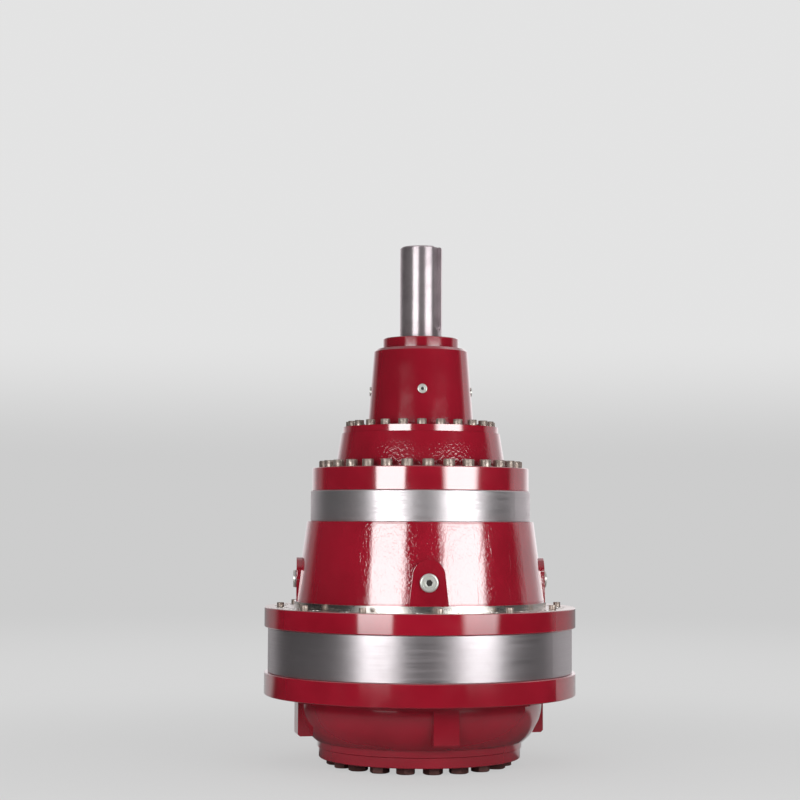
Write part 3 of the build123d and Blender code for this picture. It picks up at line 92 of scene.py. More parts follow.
class GearboxSizes(bpy.types.PropertyGroup):
    """Sizes of the screws and plugs, in metres."""

    cover_screw_thread: FloatProperty(
        name="Cover screw", description="Thread diameter of the upper cover's screws", default=0.010,
        unit="LENGTH",
    )
    cover_screw_circle: FloatProperty(
        name="Cover screw circle", description="Radius of the circle of the upper cover's screws",
        default=0.137, unit="LENGTH",
    )
    cover_screw_count: IntProperty(name="Cover screws", description="Screws in the upper cover", default=30)
    input_screw_thread: FloatProperty(
        name="Input screw", description="Thread diameter of the input housing's screws", default=0.008,
        unit="LENGTH",
    )
    input_screw_circle: FloatProperty(
        name="Input screw circle", description="Radius of the circle of the input housing's screws",
        default=0.100, unit="LENGTH",
    )
    input_screw_count: IntProperty(name="Input screws", description="Screws in the input housing", default=24)
    flange_screw_thread: FloatProperty(
        name="Flange screw", description="Thread diameter of the screws in the two large flanges",
        default=0.006, unit="LENGTH",
    )
    flange_circle: FloatProperty(
        name="Flange circle", description="Radius of the hole circle in the two large flanges", default=0.198,
        unit="LENGTH",
    )
    flange_screw_count: IntProperty(
        name="Flange screws", description="Screws in each large flange", default=12
    )
    base_screw_thread: FloatProperty(
        name="Base screw", description="Thread diameter of the hexagon screws below", default=0.016,
        unit="LENGTH",
    )
    base_screw_flats: FloatProperty(
        name="Base screw flats", description="Size across flats of the hexagon screws below", default=0.024,
        unit="LENGTH",
    )
    base_screw_circle: FloatProperty(
        name="Base screw circle", description="Radius of the circle of the hexagon screws", default=0.118,
        unit="LENGTH",
    )
    base_screw_count: IntProperty(name="Base screws", description="Hexagon screws below", default=20)
    oil_plug_radius: FloatProperty(
        name="Oil plug", description="Radius of an oil plug's head", default=0.012, unit="LENGTH"
    )
    input_plug_radius: FloatProperty(
        name="Input plug", description="Radius of an input housing plug's head", default=0.0066, unit="LENGTH"
    )


class GearboxColours(bpy.types.PropertyGroup):
    """Colours of the paint, the metals and the studio."""

    paint: FloatVectorProperty(
        name="Paint", description="Paint of the castings", subtype="COLOR", size=4, min=0, max=1,
        default=(0.33, 0.007, 0.022, 1),
    )
    paint_shade: FloatVectorProperty(
        name="Paint shade", description="Paint where it lies thick", subtype="COLOR", size=4, min=0, max=1,
        default=(0.26, 0.005, 0.016, 1),
    )
    band: FloatVectorProperty(
        name="Ring gears", description="Bare steel of the ring gears", subtype="COLOR", size=4, min=0, max=1,
        default=(0.64, 0.60, 0.62, 1),
    )
    shaft: FloatVectorProperty(
        name="Shaft", description="Ground steel of the shafts", subtype="COLOR", size=4, min=0, max=1,
        default=(0.84, 0.755, 0.785, 1),
    )
    screw: FloatVectorProperty(
        name="Screws", description="Blackened steel of the screws", subtype="COLOR", size=4, min=0, max=1,
        default=(0.33, 0.265, 0.23, 1),
    )
    bare_face: FloatVectorProperty(
        name="Bare face", description="Unpainted machined face of the upper flange", subtype="COLOR", size=4,
        min=0, max=1, default=(0.80, 0.78, 0.75, 1),
    )
    zinc: FloatVectorProperty(
        name="Plugs", description="Zinc plating of the plugs", subtype="COLOR", size=4, min=0, max=1,
        default=(0.82, 0.82, 0.77, 1),
    )
    floor: FloatVectorProperty(
        name="Floor", description="Floor and background", subtype="COLOR", size=4, min=0, max=1,
        default=(0.67, 0.67, 0.67, 1),
    )


# Shader building


class Signal:
    """A node's output that takes part in Python arithmetic."""

    def __init__(self, finish, socket):
        self.finish = finish
        self.socket = socket

    def math(self, operation, first, second):
        return self.finish.node("ShaderNodeMath", {0: first, 1: second}, operation=operation)

    def __add__(self, other):
        return self.math("ADD", self, other)

    def __radd__(self, other):
        return self.math("ADD", other, self)

    def __sub__(self, other):
        return self.math("SUBTRACT", self, other)

    def __rsub__(self, other):
        return self.math("SUBTRACT", other, self)

    def __mul__(self, other):
        return self.math("MULTIPLY", self, other)

    def __rmul__(self, other):
        return self.math("MULTIPLY", other, self)

    def __truediv__(self, other):
        return self.math("DIVIDE", self, other)


class Finish:
    """A material in the making."""

    def __init__(self, name):
        self.material = bpy.data.materials.new(f"finished_{name}")
        self.material.use_nodes = True
        self.tree = self.material.node_tree
        self.tree.nodes.clear()
        self.place = self.node("ShaderNodeTexCoord", output="Object")

    def node(self, kind, inputs=None, output=0, **settings):
        """Add a node. Its inputs are constants or other nodes' signals."""
        node = self.tree.nodes.new(kind)
        for name, value in settings.items():
            setattr(node, name, value)
        for name, value in (inputs or {}).items():
            if isinstance(value, Signal):
                self.tree.links.new(value.socket, node.inputs[name])
            else:
                node.inputs[name].default_value = value
        return Signal(self, node.outputs[output])

    def noise(self, scale, detail=3.0, roughness=0.5, stretch=(1, 1, 1)):
        """Noise over the surface, drawn out along an axis by a small stretch."""
        place = self.node("ShaderNodeMapping", {"Vector": self.place, "Scale": stretch})
        return self.node(
            "ShaderNodeTexNoise", {"Vector": place, "Scale": scale, "Detail": detail, "Roughness": roughness}
        )

    def band(self, value, low, high):
        """0 below low, 1 above high and smooth between."""
        return self.node(
            "ShaderNodeMapRange", {"Value": value, "From Min": low, "From Max": high},
            interpolation_type="SMOOTHSTEP",
        )

    def part(self, letter):
        """One coordinate of the place: its height, for the letter Z."""
        return self.node("ShaderNodeSeparateXYZ", {0: self.place}, output=letter)

    def radius(self):
        """The distance from the gearbox's axis."""
        flat = self.node("ShaderNodeVectorMath", {0: self.place, 1: (1, 1, 0)}, operation="MULTIPLY")
        return self.node("ShaderNodeVectorMath", {0: flat}, output="Value", operation="LENGTH")

    def ray(self, kind):
        """1 where the ray is of that kind: Camera, Glossy or Transmission."""
        return self.node("ShaderNodeLightPath", output=f"Is {kind} Ray")

    def mix(self, factor, first, second):
        return self.node("ShaderNodeMix", {0: factor, 6: first, 7: second}, output=2, data_type="RGBA")

    def bump(self, height, distance, strength=1.0, under=None):
        inputs = {"Height": height, "Distance": distance, "Strength": strength}
        if under:
            inputs["Normal"] = under
        return self.node("ShaderNodeBump", inputs)

    def along(self, place, direction):
        return self.node(
            "ShaderNodeVectorMath", {0: place, 1: direction}, output="Value", operation="DOT_PRODUCT"
        )

    def walls(self, place):
        """Where a direction from the axis meets the wall behind on the right, the one on the left and the
        middle of both."""
        back = self.along(place, (-cos(FRONT), -sin(FRONT), 0))
        right = self.along(place, (-sin(FRONT), cos(FRONT), 0))
        side = self.band(right, -0.2, 0.2)
        return (
            self.band(back, 0.27, 0.42) * side,
            self.band(back, 0.52, 0.70) * (1 - side),
            self.band(back, 0.74, 0.97),
        )

    def surface(self, **inputs):
        """Close the material with the shader that takes these inputs."""
        named = {name.replace("_", " "): value for name, value in inputs.items()}
        shader = self.node("ShaderNodeBsdfPrincipled", named)
        self.node_output(shader)
        return self.material

    def node_output(self, shader):
        output = self.tree.nodes.new("ShaderNodeOutputMaterial")
        self.tree.links.new(shader.socket, output.inputs["Surface"])


def castings_paint(colours):
    """Glossy crimson paint over castings. The upper cover is beaded with drops, the cone under it is dimpled
    and has runs, and the machined flanges are smooth. The register between the cone and the upper flange, the
    flange's top face and the bolt holes are left bare."""
    finish = Finish("crimson_paint")
    radius = finish.radius()
    height = finish.part("Z")
    cover = finish.band(height, COVER_CONE_BOTTOM + 0.001, COVER_CONE_BOTTOM + 0.003)
    cover = cover * (1 - finish.band(height, COVER_CONE_BOTTOM + 0.0225, COVER_CONE_BOTTOM + 0.0445))
    cone = finish.band(height, CONE_BOTTOM, CONE_BOTTOM + 0.003)
    cone = cone * (1 - finish.band(height, CONE_TOP - 0.003, CONE_TOP))
    flange = finish.band(radius, 0.209, 0.214)
    cast = finish.noise(26, detail=2, roughness=0.5)
    dimples = finish.band(finish.noise(110, detail=3, roughness=0.55), 0.45, 0.75)
    drops = finish.band(finish.noise(270, detail=1, roughness=0.5), 0.38, 0.64)
    peel = finish.noise(520, detail=1)
    runs = finish.band(finish.noise(1, detail=2, stretch=(70, 70, 8)), 0.62, 0.70)
    thick = finish.noise(9, detail=3)
    colour = finish.mix(finish.band(thick, 0.35, 0.7), tuple(colours.paint), tuple(colours.paint_shade))
    swell = finish.bump(cast * (0.12 + 0.88 * cone) * (1 - flange), 0.0010, 0.8)
    skin = drops * (0.62 * cover + 0.36 * cone) + (dimples * 0.4 + runs * 0.7) * cone * (1 - flange)
    beads = finish.bump(skin, 0.00024, 1.0, under=swell)
    bare = finish.band(height, UPPER_FLANGE_TOP - 0.00045, UPPER_FLANGE_TOP - 0.0002)
    bare = bare * (1 - finish.band(height, CONE_BOTTOM - 0.0004, CONE_BOTTOM - 0.0001))
    bare = bare * finish.band(radius, REGISTER_RADIUS - 0.001, REGISTER_RADIUS - 0.0005)
    drilled = finish.band(radius, BOLT_HOLES_INNER_RADIUS - 0.0005, BOLT_HOLES_INNER_RADIUS)
    drilled = drilled * (1 - finish.band(radius, BOLT_HOLES_OUTER_RADIUS, BOLT_HOLES_OUTER_RADIUS + 0.0005))
    drilled = drilled * finish.band(height, LOWER_FLANGE_BOTTOM + 0.0001, LOWER_FLANGE_BOTTOM + 0.0004)
    bare = bare + drilled * (1 - bare)
    turned = finish.noise(1, detail=2, stretch=(900, 900, 1))
    metal = finish.mix(turned, tuple(colours.bare_face), (0.60, 0.56, 0.52, 1))
    return finish.surface(
        Base_Color=finish.mix(bare, colour, metal),
        Metallic=bare,
        Roughness=0.09 + 0.08 * finish.band(cast, 0.35, 0.75) + 0.14 * bare,
        Normal=finish.bump(peel, 0.00004, 0.5, under=beads),
        Specular_IOR_Level=1.0,
        Coat_Weight=1 - bare,
        Coat_Roughness=0.05,
        Coat_IOR=1.8,
    )


def ring_gear_steel(colours):
    """Bare turned steel: fine bright and dull lines around the ring, faint stains and longer streaks. The
    upper ring is rougher and cloudier, and its colour is painted lighter as a painted sheen that brightens
    its reflections."""
    finish = Finish("bare_steel")
    upper = finish.band(finish.part("Z"), CONE_TOP - 0.04, CONE_TOP)
    lines = finish.noise(1, detail=3, roughness=0.7, stretch=(9, 9, 1300))
    stains = finish.noise(12, detail=5, roughness=0.65)
    streaks = finish.noise(1, detail=3, roughness=0.6, stretch=(8, 8, 150))
    dull = finish.band(stains, 0.42, 0.78)
    # The upper ring's lighter colour is a painted sheen.
    colour = finish.mix(upper * 0.7, tuple(colours.band), (0.90, 0.86, 0.88, 1))
    colour = finish.mix(dull * 0.5, colour, (0.50, 0.45, 0.465, 1))
    colour = finish.mix(finish.band(streaks, 0.5, 0.8) * 0.25, colour, (0.72, 0.69, 0.705, 1))
    rough = 0.30 + 0.16 * finish.band(lines, 0.35, 0.65) + 0.05 * dull
    return finish.surface(
        Base_Color=colour,
        Metallic=0.92,
        Roughness=rough + (0.01 + 0.12 * stains) * upper,
        Normal=finish.bump(lines, 0.00003, 0.5),
        Anisotropic=0.6,
        Anisotropic_Rotation=0.25,
    )


def ground_steel(colours):
    """Ground shaft steel with bright and dull lines around it and oily smears."""
    finish = Finish("ground_steel")
    lines = finish.noise(1, detail=3, roughness=0.7, stretch=(20, 20, 2600))
    smear = finish.noise(28, detail=4, roughness=0.6)
    return finish.surface(
        Base_Color=finish.mix(finish.band(smear, 0.4, 0.75), tuple(colours.shaft), (0.68, 0.60, 0.63, 1)),
        Metallic=0.86,
        Roughness=0.30 + 0.12 * finish.band(lines, 0.40, 0.62) + 0.04 * smear,
        Normal=finish.bump(lines, 0.00002, 0.5),
        Anisotropic=0.95,
        Anisotropic_Rotation=0.25,
    )


def blackened_steel(colours):
    """Oiled brown-black screws, brighter where the tool and the hand wore them. Those that the gearbox stands
    on are
    painted darker and reddish brown: painted shade under the gearbox with a painted reflection of the red
    paint."""
    finish = Finish("blackened_steel")
    # The screws at the base get painted shade, darker and reddish brown from a painted reflection of the red
    # paint.
    base = 1 - finish.band(finish.part("Z"), BASE_HEAD_TOP + 0.002, BASE_HEAD_TOP + 0.010)
    spots = finish.noise(170, detail=3, roughness=0.6)
    worn = finish.band(spots, 0.45, 0.70)
    oiled = finish.mix(worn, tuple(colours.screw), (0.62, 0.54, 0.47, 1))
    return finish.surface(
        Base_Color=finish.mix(base, oiled, (0.13, 0.055, 0.05, 1)),
        Metallic=0.7 - 0.1 * base,
        Roughness=0.48 - 0.14 * worn,
        Normal=finish.bump(spots, 0.00015, 0.5),
    )


def zinc_plating(colours):
    """Bright zinc plating with a faint cloudiness."""
    finish = Finish("zinc_plating")
    cloud = finish.noise(220, detail=2)
    return finish.surface(
        Base_Color=finish.mix(cloud, tuple(colours.zinc), (0.66, 0.67, 0.62, 1)),
        Metallic=0.7,
        Roughness=0.30 + 0.14 * cloud,
        Normal=finish.bump(cloud, 0.00006, 0.4),
    )


def painted_socket_shade(colours):
    """Painted shade that darkens a screw's socket: a near-black colour with a mottle, on its walls and floor.
    """
    finish = Finish("painted_socket_shade")
    shade_mottle = finish.noise(400, detail=3)
    return finish.surface(
        Base_Color=finish.mix(shade_mottle, (0.035, 0.030, 0.027, 1), (0.11, 0.10, 0.09, 1)),
        Roughness=0.35 + 0.25 * shade_mottle,
    )


def washer_aluminium(colours):
    finish = Finish("aluminium_washer")
    cloud = finish.noise(300, detail=2)
    return finish.surface(Base_Color=(0.62, 0.62, 0.63, 1), Metallic=1.0, Roughness=0.32 + 0.12 * cloud)


def gear_steel(colours):
    """Case hardened gear steel, faintly blue and brown from the furnace."""
    finish = Finish("case_hardened_steel")
    haze = finish.noise(26, detail=3)
    return finish.surface(
        Base_Color=finish.mix(finish.band(haze, 0.35, 0.7), (0.36, 0.36, 0.38, 1), (0.30, 0.27, 0.25, 1)),
        Metallic=1.0,
        Roughness=0.30 + 0.12 * haze,
    )


def bearing_steel(colours):
    finish = Finish("bearing_steel")
    lines = finish.noise(1, detail=3, stretch=(15, 15, 3000))
    return finish.surface(Base_Color=(0.62, 0.62, 0.64, 1), Metallic=1.0, Roughness=0.14 + 0.10 * lines)


def carrier_iron(colours):
    """Cast iron with its grain, oiled."""
    finish = Finish("cast_iron")
    grain = finish.noise(220, detail=4, roughness=0.65)
    return finish.surface(
        Base_Color=finish.mix(grain, (0.16, 0.16, 0.165, 1), (0.27, 0.265, 0.26, 1)),
        Metallic=0.8,
        Roughness=0.42 + 0.16 * grain,
        Normal=finish.bump(grain, 0.0004, 0.5),
    )


def bearing_bronze(colours):
    finish = Finish("bearing_bronze")
    haze = finish.noise(90, detail=3)
    return finish.surface(
        Base_Color=finish.mix(haze, (0.56, 0.34, 0.13, 1), (0.40, 0.23, 0.09, 1)),
        Metallic=1.0,
        Roughness=0.24 + 0.14 * haze,
    )


def seal_rubber(colours):
    finish = Finish("seal_rubber")
    dust = finish.noise(120, detail=3)
    return finish.surface(
        Base_Color=finish.mix(finish.band(dust, 0.5, 0.8), (0.018, 0.018, 0.019, 1), (0.05, 0.048, 0.045, 1)),
        Roughness=0.5 + 0.2 * dust,
    )


FINISHES = {
    "crimson_paint": castings_paint,
    "bare_steel": ring_gear_steel,
    "ground_steel": ground_steel,
    "blackened_steel": blackened_steel,
    "zinc_plating": zinc_plating,
    "aluminium_washer": washer_aluminium,
    "case_hardened_steel": gear_steel,
    "bearing_steel": bearing_steel,
    "cast_iron": carrier_iron,
    "bearing_bronze": bearing_bronze,
    "seal_rubber": seal_rubber,
    "painted_socket_shade": painted_socket_shade,
}
NODE_SLOT = {entry["node"]: entry["material_slot"] for entry in frame["record"]["subparts"]}
NODE_BODY = {
    node: body for body, members in frame["record"]["behaviour"]["bodies"].items() for node in members
}


def finish_for(context, slot):
    """The finish of a material slot, made when it is first asked for."""
    made = bpy.data.materials.get(f"finished_{slot}")
    return made or FINISHES[slot](context.scene.gearbox_colours)


def dress(context, nodes):
    """Give CAD nodes the finish of their slots."""
    for node in nodes:
        materials = frame["nodes"][node].data.materials
        material = finish_for(context, NODE_SLOT[node])
        if not materials:
            materials.append(material)
        for index in range(len(materials)):
            materials[index] = material


def add_piece(context, name, bm, node):
    """Turn a bmesh into the piece that stands for a CAD node."""
    bmesh.ops.remove_doubles(bm, verts=bm.verts, dist=1e-6)
    bmesh.ops.recalc_face_normals(bm, faces=bm.faces)
    mesh = bpy.data.meshes.new(name)
    bm.to_mesh(mesh)
    bm.free()
    piece = bpy.data.objects.new(name, mesh)
    context.scene.collection.objects.link(piece)
    mesh.materials.append(finish_for(context, NODE_SLOT[node]))
    # The second slot is painted shade for the walls and floors of the sockets.
    mesh.materials.append(finish_for(context, "painted_socket_shade"))
    mesh.shade_smooth()
    mesh.set_sharp_from_angle(angle=radians(35))
    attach(piece, NODE_BODY[node])
    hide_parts(node)
    return piece


def spun(profile, steps):
    """A bmesh turned about Z from the (radius, height) points of a profile."""
    bm = bmesh.new()
    corners = [bm.verts.new((radius, 0, height)) for radius, height in profile]
    edges = [bm.edges.new(pair) for pair in zip(corners, corners[1:])]
    bmesh.ops.spin(
        bm, geom=corners + edges, cent=(0, 0, 0), axis=(0, 0, 1), angle=2 * pi, steps=steps, use_merge=True
    )
    bmesh.ops.remove_doubles(bm, verts=bm.verts, dist=1e-6)
    return bm


def hexagon_loop(bm, across_flats, height, points_per_side):
    """A hexagonal loop of edges, each side in several parts."""
    circle = bmesh.ops.create_circle(
        bm, segments=6, radius=across_flats / sqrt(3), matrix=Matrix.Translation((0, 0, height))
    )
    edges = list({edge for vert in circle["verts"] for edge in vert.link_edges})
    if points_per_side > 1:
        bmesh.ops.subdivide_edges(bm, edges=edges, cuts=points_per_side - 1)
    return [
        edge for edge in bm.edges
        if not edge.link_faces and all(abs(vert.co.z - height) < 1e-7 for vert in edge.verts)
    ]


def verts_of(parts):
    return [part for part in parts if isinstance(part, bmesh.types.BMVert)]


def edges_between(parts, verts):
    """Those of the parts that are edges between two of the verts."""
    edges = [part for part in parts if isinstance(part, bmesh.types.BMEdge)]
    return [edge for edge in edges if all(vert in verts for vert in edge.verts)]


def open_rim(bm, height):
    """The boundary edges at a height."""
    return [
        edge for edge in bm.edges
        if len(edge.link_faces) == 1 and all(abs(vert.co.z - height) < 1e-7 for vert in edge.verts)
    ]


def sink_socket(bm, edges, depth):
    """Draw a closed loop of edges down into a socket with a flat floor. Its walls and floor have the second
    material, a painted shade.
    """
    before = set(bm.faces)
    walls = bmesh.ops.extrude_edge_only(bm, edges=edges)["geom"]
    corners = verts_of(walls)
    bmesh.ops.translate(bm, verts=corners, vec=(0, 0, -depth))
    bmesh.ops.edgeloop_fill(bm, edges=edges_between(walls, corners))
    for face in set(bm.faces) - before:
        face.material_index = 1


def socket_screw(thread, length, head_radius=None, head_height=None, flats=None, depth=None, steps=24):
    """A cap screw with a hexagon socket, its head standing on z = 0 and its shank pointing down."""
    head_radius = head_radius or (1.5 * thread + 0.001) / 2
    head_height = head_height or thread
    flats = flats or 0.78 * thread
    depth = depth or 0.5 * thread
    edge = 0.07 * head_radius
    shank = thread / 2
    bm = spun(
        [
            (0, -length),
            (shank - 0.1 * thread, -length),
            (shank, -length + 0.1 * thread),
            (shank, 0),
            (head_radius - edge / 2, 0),
            (head_radius, edge / 2),
            (head_radius, head_height - edge),
            (head_radius - 0.3 * edge, head_height - 0.3 * edge),
            (head_radius - edge, head_height),
            (flats * 0.66, head_height),
        ],
        steps,
    )
    rim = open_rim(bm, head_height)
    mouth = hexagon_loop(bm, flats * 1.04, head_height - 0.02 * thread, steps // 6)
    bmesh.ops.bridge_loops(bm, edges=rim + mouth)
    sink_socket(bm, mouth, depth)
    return bm


def screw_plug(thread, length, head_radius, head_height, flats, depth, steps, groove):
    """A plug with a flat round head on z = 0, a shallow groove in its face and a hexagon socket."""
    rim = 0.09 * head_radius
    inner = head_radius - 2.4 * rim
    outer_lip = inner - 0.5 * rim
    dip = head_height - groove
    bm = spun(
        [
            (0, -length),
            (thread / 2 - 0.001, -length),
            (thread / 2, -length + 0.001),
            (thread / 2, 0),
            (head_radius - 0.3 * rim, 0),
            (head_radius, 0.3 * rim),
            (head_radius, head_height - rim),
            (head_radius - 0.3 * rim, head_height - 0.3 * rim),
            (head_radius - rim, head_height),
            (inner, head_height),
            (outer_lip, dip),
            (flats * 0.85, dip),
            (flats * 0.78, head_height - 0.2 * groove),
            (flats * 0.66, head_height - 0.2 * groove),
        ],
        steps,
    )
    face = head_height - 0.2 * groove
    mouth = hexagon_loop(bm, flats, face - 0.0002, steps // 6)
    bmesh.ops.bridge_loops(bm, edges=open_rim(bm, face) + mouth)
    sink_socket(bm, mouth, depth)
    return bm


def hexagon_screw(thread, flats, head_height, length):
    """A hexagon head screw, its head below z = 0 with rounded-off corners and its shank pointing up."""
    steps = 24
    bm = bmesh.new()
    loop = hexagon_loop(bm, flats, 0, steps // 6)
    walls = bmesh.ops.extrude_edge_only(bm, edges=loop)["geom"]
    crown = flats / 2 * 0.94
    face = verts_of(walls)
    for vert in face:
        vert.co.z = -head_height + (Vector(vert.co[:2]).length - crown) * tan(radians(30))
    crowned = bmesh.ops.extrude_edge_only(bm, edges=edges_between(walls, face))["geom"]
    inner = verts_of(crowned)
    for vert in inner:
        flat = Vector(vert.co[:2]).normalized() * crown
        vert.co = (flat.x, flat.y, -head_height)
    bmesh.ops.edgeloop_fill(bm, edges=edges_between(crowned, inner))
    bmesh.ops.edgeloop_fill(bm, edges=loop)
    shank = spun([(0, 0), (thread / 2, 0), (thread / 2, length), (0, length)], steps)
    joined = bpy.data.meshes.new("shank")
    shank.to_mesh(joined)
    shank.free()
    bm.from_mesh(joined)
    bpy.data.meshes.remove(joined)
    return bm


def around(bm, places):
    """Repeat a bmesh at each of the places and drop the first one."""
    model = list(bm.verts) + list(bm.edges) + list(bm.faces)
    for place in places:
        copy = bmesh.ops.duplicate(bm, geom=model)["geom"]
        bmesh.ops.transform(bm, matrix=place, verts=verts_of(copy))
    bmesh.ops.delete(bm, geom=verts_of(model), context="VERTS")
    return bm


def upright_places(count, circle, first, height):
    """Places on a circle, each turned by its own little angle as screws are after tightening."""
    places = []
    for number in range(count):
        angle = FRONT + radians(first) + 2 * pi * number / count
        spot = Matrix.Translation((circle * cos(angle), circle * sin(angle), height))
        places.append(spot @ Matrix.Rotation(angle + 2.4 * number, 4, "Z"))
    return places


def outward_places(first, radius, height):
    """Four places whose Z points out from the axis."""
    places = []
    for quarter in range(4):
        angle = FRONT + radians(first) + quarter * pi / 2
        spot = Matrix.Translation((radius * cos(angle), radius * sin(angle), height))
        out = Matrix.Rotation(angle, 4, "Z") @ Matrix.Rotation(pi / 2, 4, "Y")
        places.append(spot @ out @ Matrix.Rotation(0.7 * quarter + 0.2, 4, "Z"))
    return places


def screws_between(node, head_height):
    """The level under the heads of a node's screws and the length of their shanks, from the CAD box."""
    low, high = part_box(node)
    seat = high.z - head_height
    return seat, seat - low.z


class GEARBOX_OT_castings(bpy.types.Operator):
    """Paint the five castings"""

    bl_idname = "gearbox.castings"
    bl_label = "Castings"

    def execute(self, context):
        dress(context, [
            "output_housing", "output_seal_cover", "intermediate_housing", "upper_cover", "input_housing",
        ])
        return {"FINISHED"}


class GEARBOX_OT_ring_gears(bpy.types.Operator):
    """Give the ring gears their bare steel"""

    bl_idname = "gearbox.ring_gears"
    bl_label = "Ring gears"

    def execute(self, context):
        dress(context, ["stage_1_ring_gear", "stage_2_ring_gear", "stage_3_ring_gear"])
        return {"FINISHED"}


class GEARBOX_OT_input_shaft(bpy.types.Operator):
    """Give the input shaft its ground steel"""

    bl_idname = "gearbox.input_shaft"
    bl_label = "Input shaft"

    def execute(self, context):
        dress(context, ["input_shaft"])
        return {"FINISHED"}


class GEARBOX_OT_inner_pieces(bpy.types.Operator):
    """Give the gears, carriers, bearings and seals inside their finishes"""

    bl_idname = "gearbox.inner_pieces"
    bl_label = "Gears, bearings and seals"

    def execute(self, context):
        inner = [
            node for node, slot in NODE_SLOT.items()
            if slot in (
                "case_hardened_steel", "bearing_steel", "cast_iron", "bearing_bronze", "seal_rubber",
                "blackened_steel", "aluminium_washer",
            )
        ]
        dress(context, inner)
        return {"FINISHED"}


class GEARBOX_OT_cover_screws(bpy.types.Operator):
    """Make the socket screws of the upper cover"""

    bl_idname = "gearbox.cover_screws"
    bl_label = "Cover screws"

    def execute(self, context):
        sizes = context.scene.gearbox_sizes
        thread = sizes.cover_screw_thread
        seat, length = screws_between("upper_cover_screws", thread)
        places = upright_places(sizes.cover_screw_count, sizes.cover_screw_circle, COVER_SCREW_START, seat)
        screws = around(socket_screw(thread, length), places)
        add_piece(context, "cover_socket_screws", screws, "upper_cover_screws")
        return {"FINISHED"}


class GEARBOX_OT_input_screws(bpy.types.Operator):
    """Make the socket screws of the input housing"""

    bl_idname = "gearbox.input_screws"
    bl_label = "Input housing screws"

    def execute(self, context):
        sizes = context.scene.gearbox_sizes
        thread = sizes.input_screw_thread
        seat, length = screws_between("input_housing_screws", thread)
        places = upright_places(sizes.input_screw_count, sizes.input_screw_circle, INPUT_SCREW_START, seat)
        screws = around(socket_screw(thread, length), places)
        add_piece(context, "input_socket_screws", screws, "input_housing_screws")
        return {"FINISHED"}


class GEARBOX_OT_flange_screws(bpy.types.Operator):
    """Make the small socket screws of the two large flanges"""

    bl_idname = "gearbox.flange_screws"
    bl_label = "Flange screws"

    def execute(self, context):
        sizes = context.scene.gearbox_sizes
        thread = sizes.flange_screw_thread
        seat, length = screws_between("upper_flange_screws", thread)
        count, circle = sizes.flange_screw_count, sizes.flange_circle
        screws = around(
            socket_screw(thread, length), upright_places(count, circle, UPPER_FLANGE_SCREW_START, seat)
        )
        add_piece(context, "upper_flange_socket_screws", screws, "upper_flange_screws")
        low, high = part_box("lower_flange_screws")
        upside_down = Matrix.Rotation(pi, 4, "X")
        places = upright_places(count, circle, LOWER_FLANGE_SCREW_START, low.z + thread)
        places = [place @ upside_down for place in places]
        screws = around(socket_screw(thread, high.z - low.z - thread), places)
        add_piece(context, "lower_flange_socket_screws", screws, "lower_flange_screws")
        return {"FINISHED"}


class GEARBOX_OT_base_screws(bpy.types.Operator):
    """Make the hexagon screws under the seal cover"""

    bl_idname = "gearbox.base_screws"
    bl_label = "Base screws"

    def execute(self, context):
        sizes = context.scene.gearbox_sizes
        low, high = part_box("seal_cover_screws")
        length = high.z - low.z - BASE_HEAD_TOP
        screw = hexagon_screw(sizes.base_screw_thread, sizes.base_screw_flats, BASE_HEAD_TOP, length)
        places = upright_places(
            sizes.base_screw_count, sizes.base_screw_circle, BASE_SCREW_START, low.z + BASE_HEAD_TOP
        )
        add_piece(context, "base_hexagon_screws", around(screw, places), "seal_cover_screws")
        return {"FINISHED"}


class GEARBOX_OT_oil_plugs(bpy.types.Operator):
    """Make the four oil plugs"""

    bl_idname = "gearbox.oil_plugs"
    bl_label = "Oil plugs"

    def execute(self, context):
        radius = context.scene.gearbox_sizes.oil_plug_radius
        plug = screw_plug(
            thread=0.018, length=0.014, head_radius=radius, head_height=0.003, flats=0.008, depth=0.005,
            steps=48, groove=0.0009,
        )
        places = outward_places(OIL_PLUG_START, radius=0.177, height=0.259)
        add_piece(context, "oil_screw_plugs", around(plug, places), "oil_plugs")
        return {"FINISHED"}


class GEARBOX_OT_input_plugs(bpy.types.Operator):
    """Make the four small plugs of the input housing"""

    bl_idname = "gearbox.input_plugs"
    bl_label = "Input plugs"

    def execute(self, context):
        radius = context.scene.gearbox_sizes.input_plug_radius
        plug = screw_plug(
            thread=0.010, length=0.012, head_radius=radius, head_height=0.002, flats=0.0045, depth=0.0035,
            steps=36, groove=0.0003,
        )
        places = outward_places(INPUT_PLUG_START, radius=0.071, height=0.5255)
        add_piece(context, "input_screw_plugs", around(plug, places), "input_plugs")
        return {"FINISHED"}


def studio_point(azimuth, distance, height):
    """A point given by its direction in degrees to the right of the camera, its distance and its height."""
    angle = FRONT + radians(azimuth)
    return Vector((distance * cos(angle), distance * sin(angle), height))


class Lamp(Finish):
    """The light of an area lamp in the making; its place runs from 0 to 1 over the lamp."""

    def __init__(self, data):
        data.use_nodes = True
        self.tree = data.node_tree
        self.tree.nodes.clear()
        self.place = self.node("ShaderNodeNewGeometry", output="Parametric")

    def node_output(self, shader):
        output = self.tree.nodes.new("ShaderNodeOutputLight")
        self.tree.links.new(shader.socket, output.inputs["Surface"])


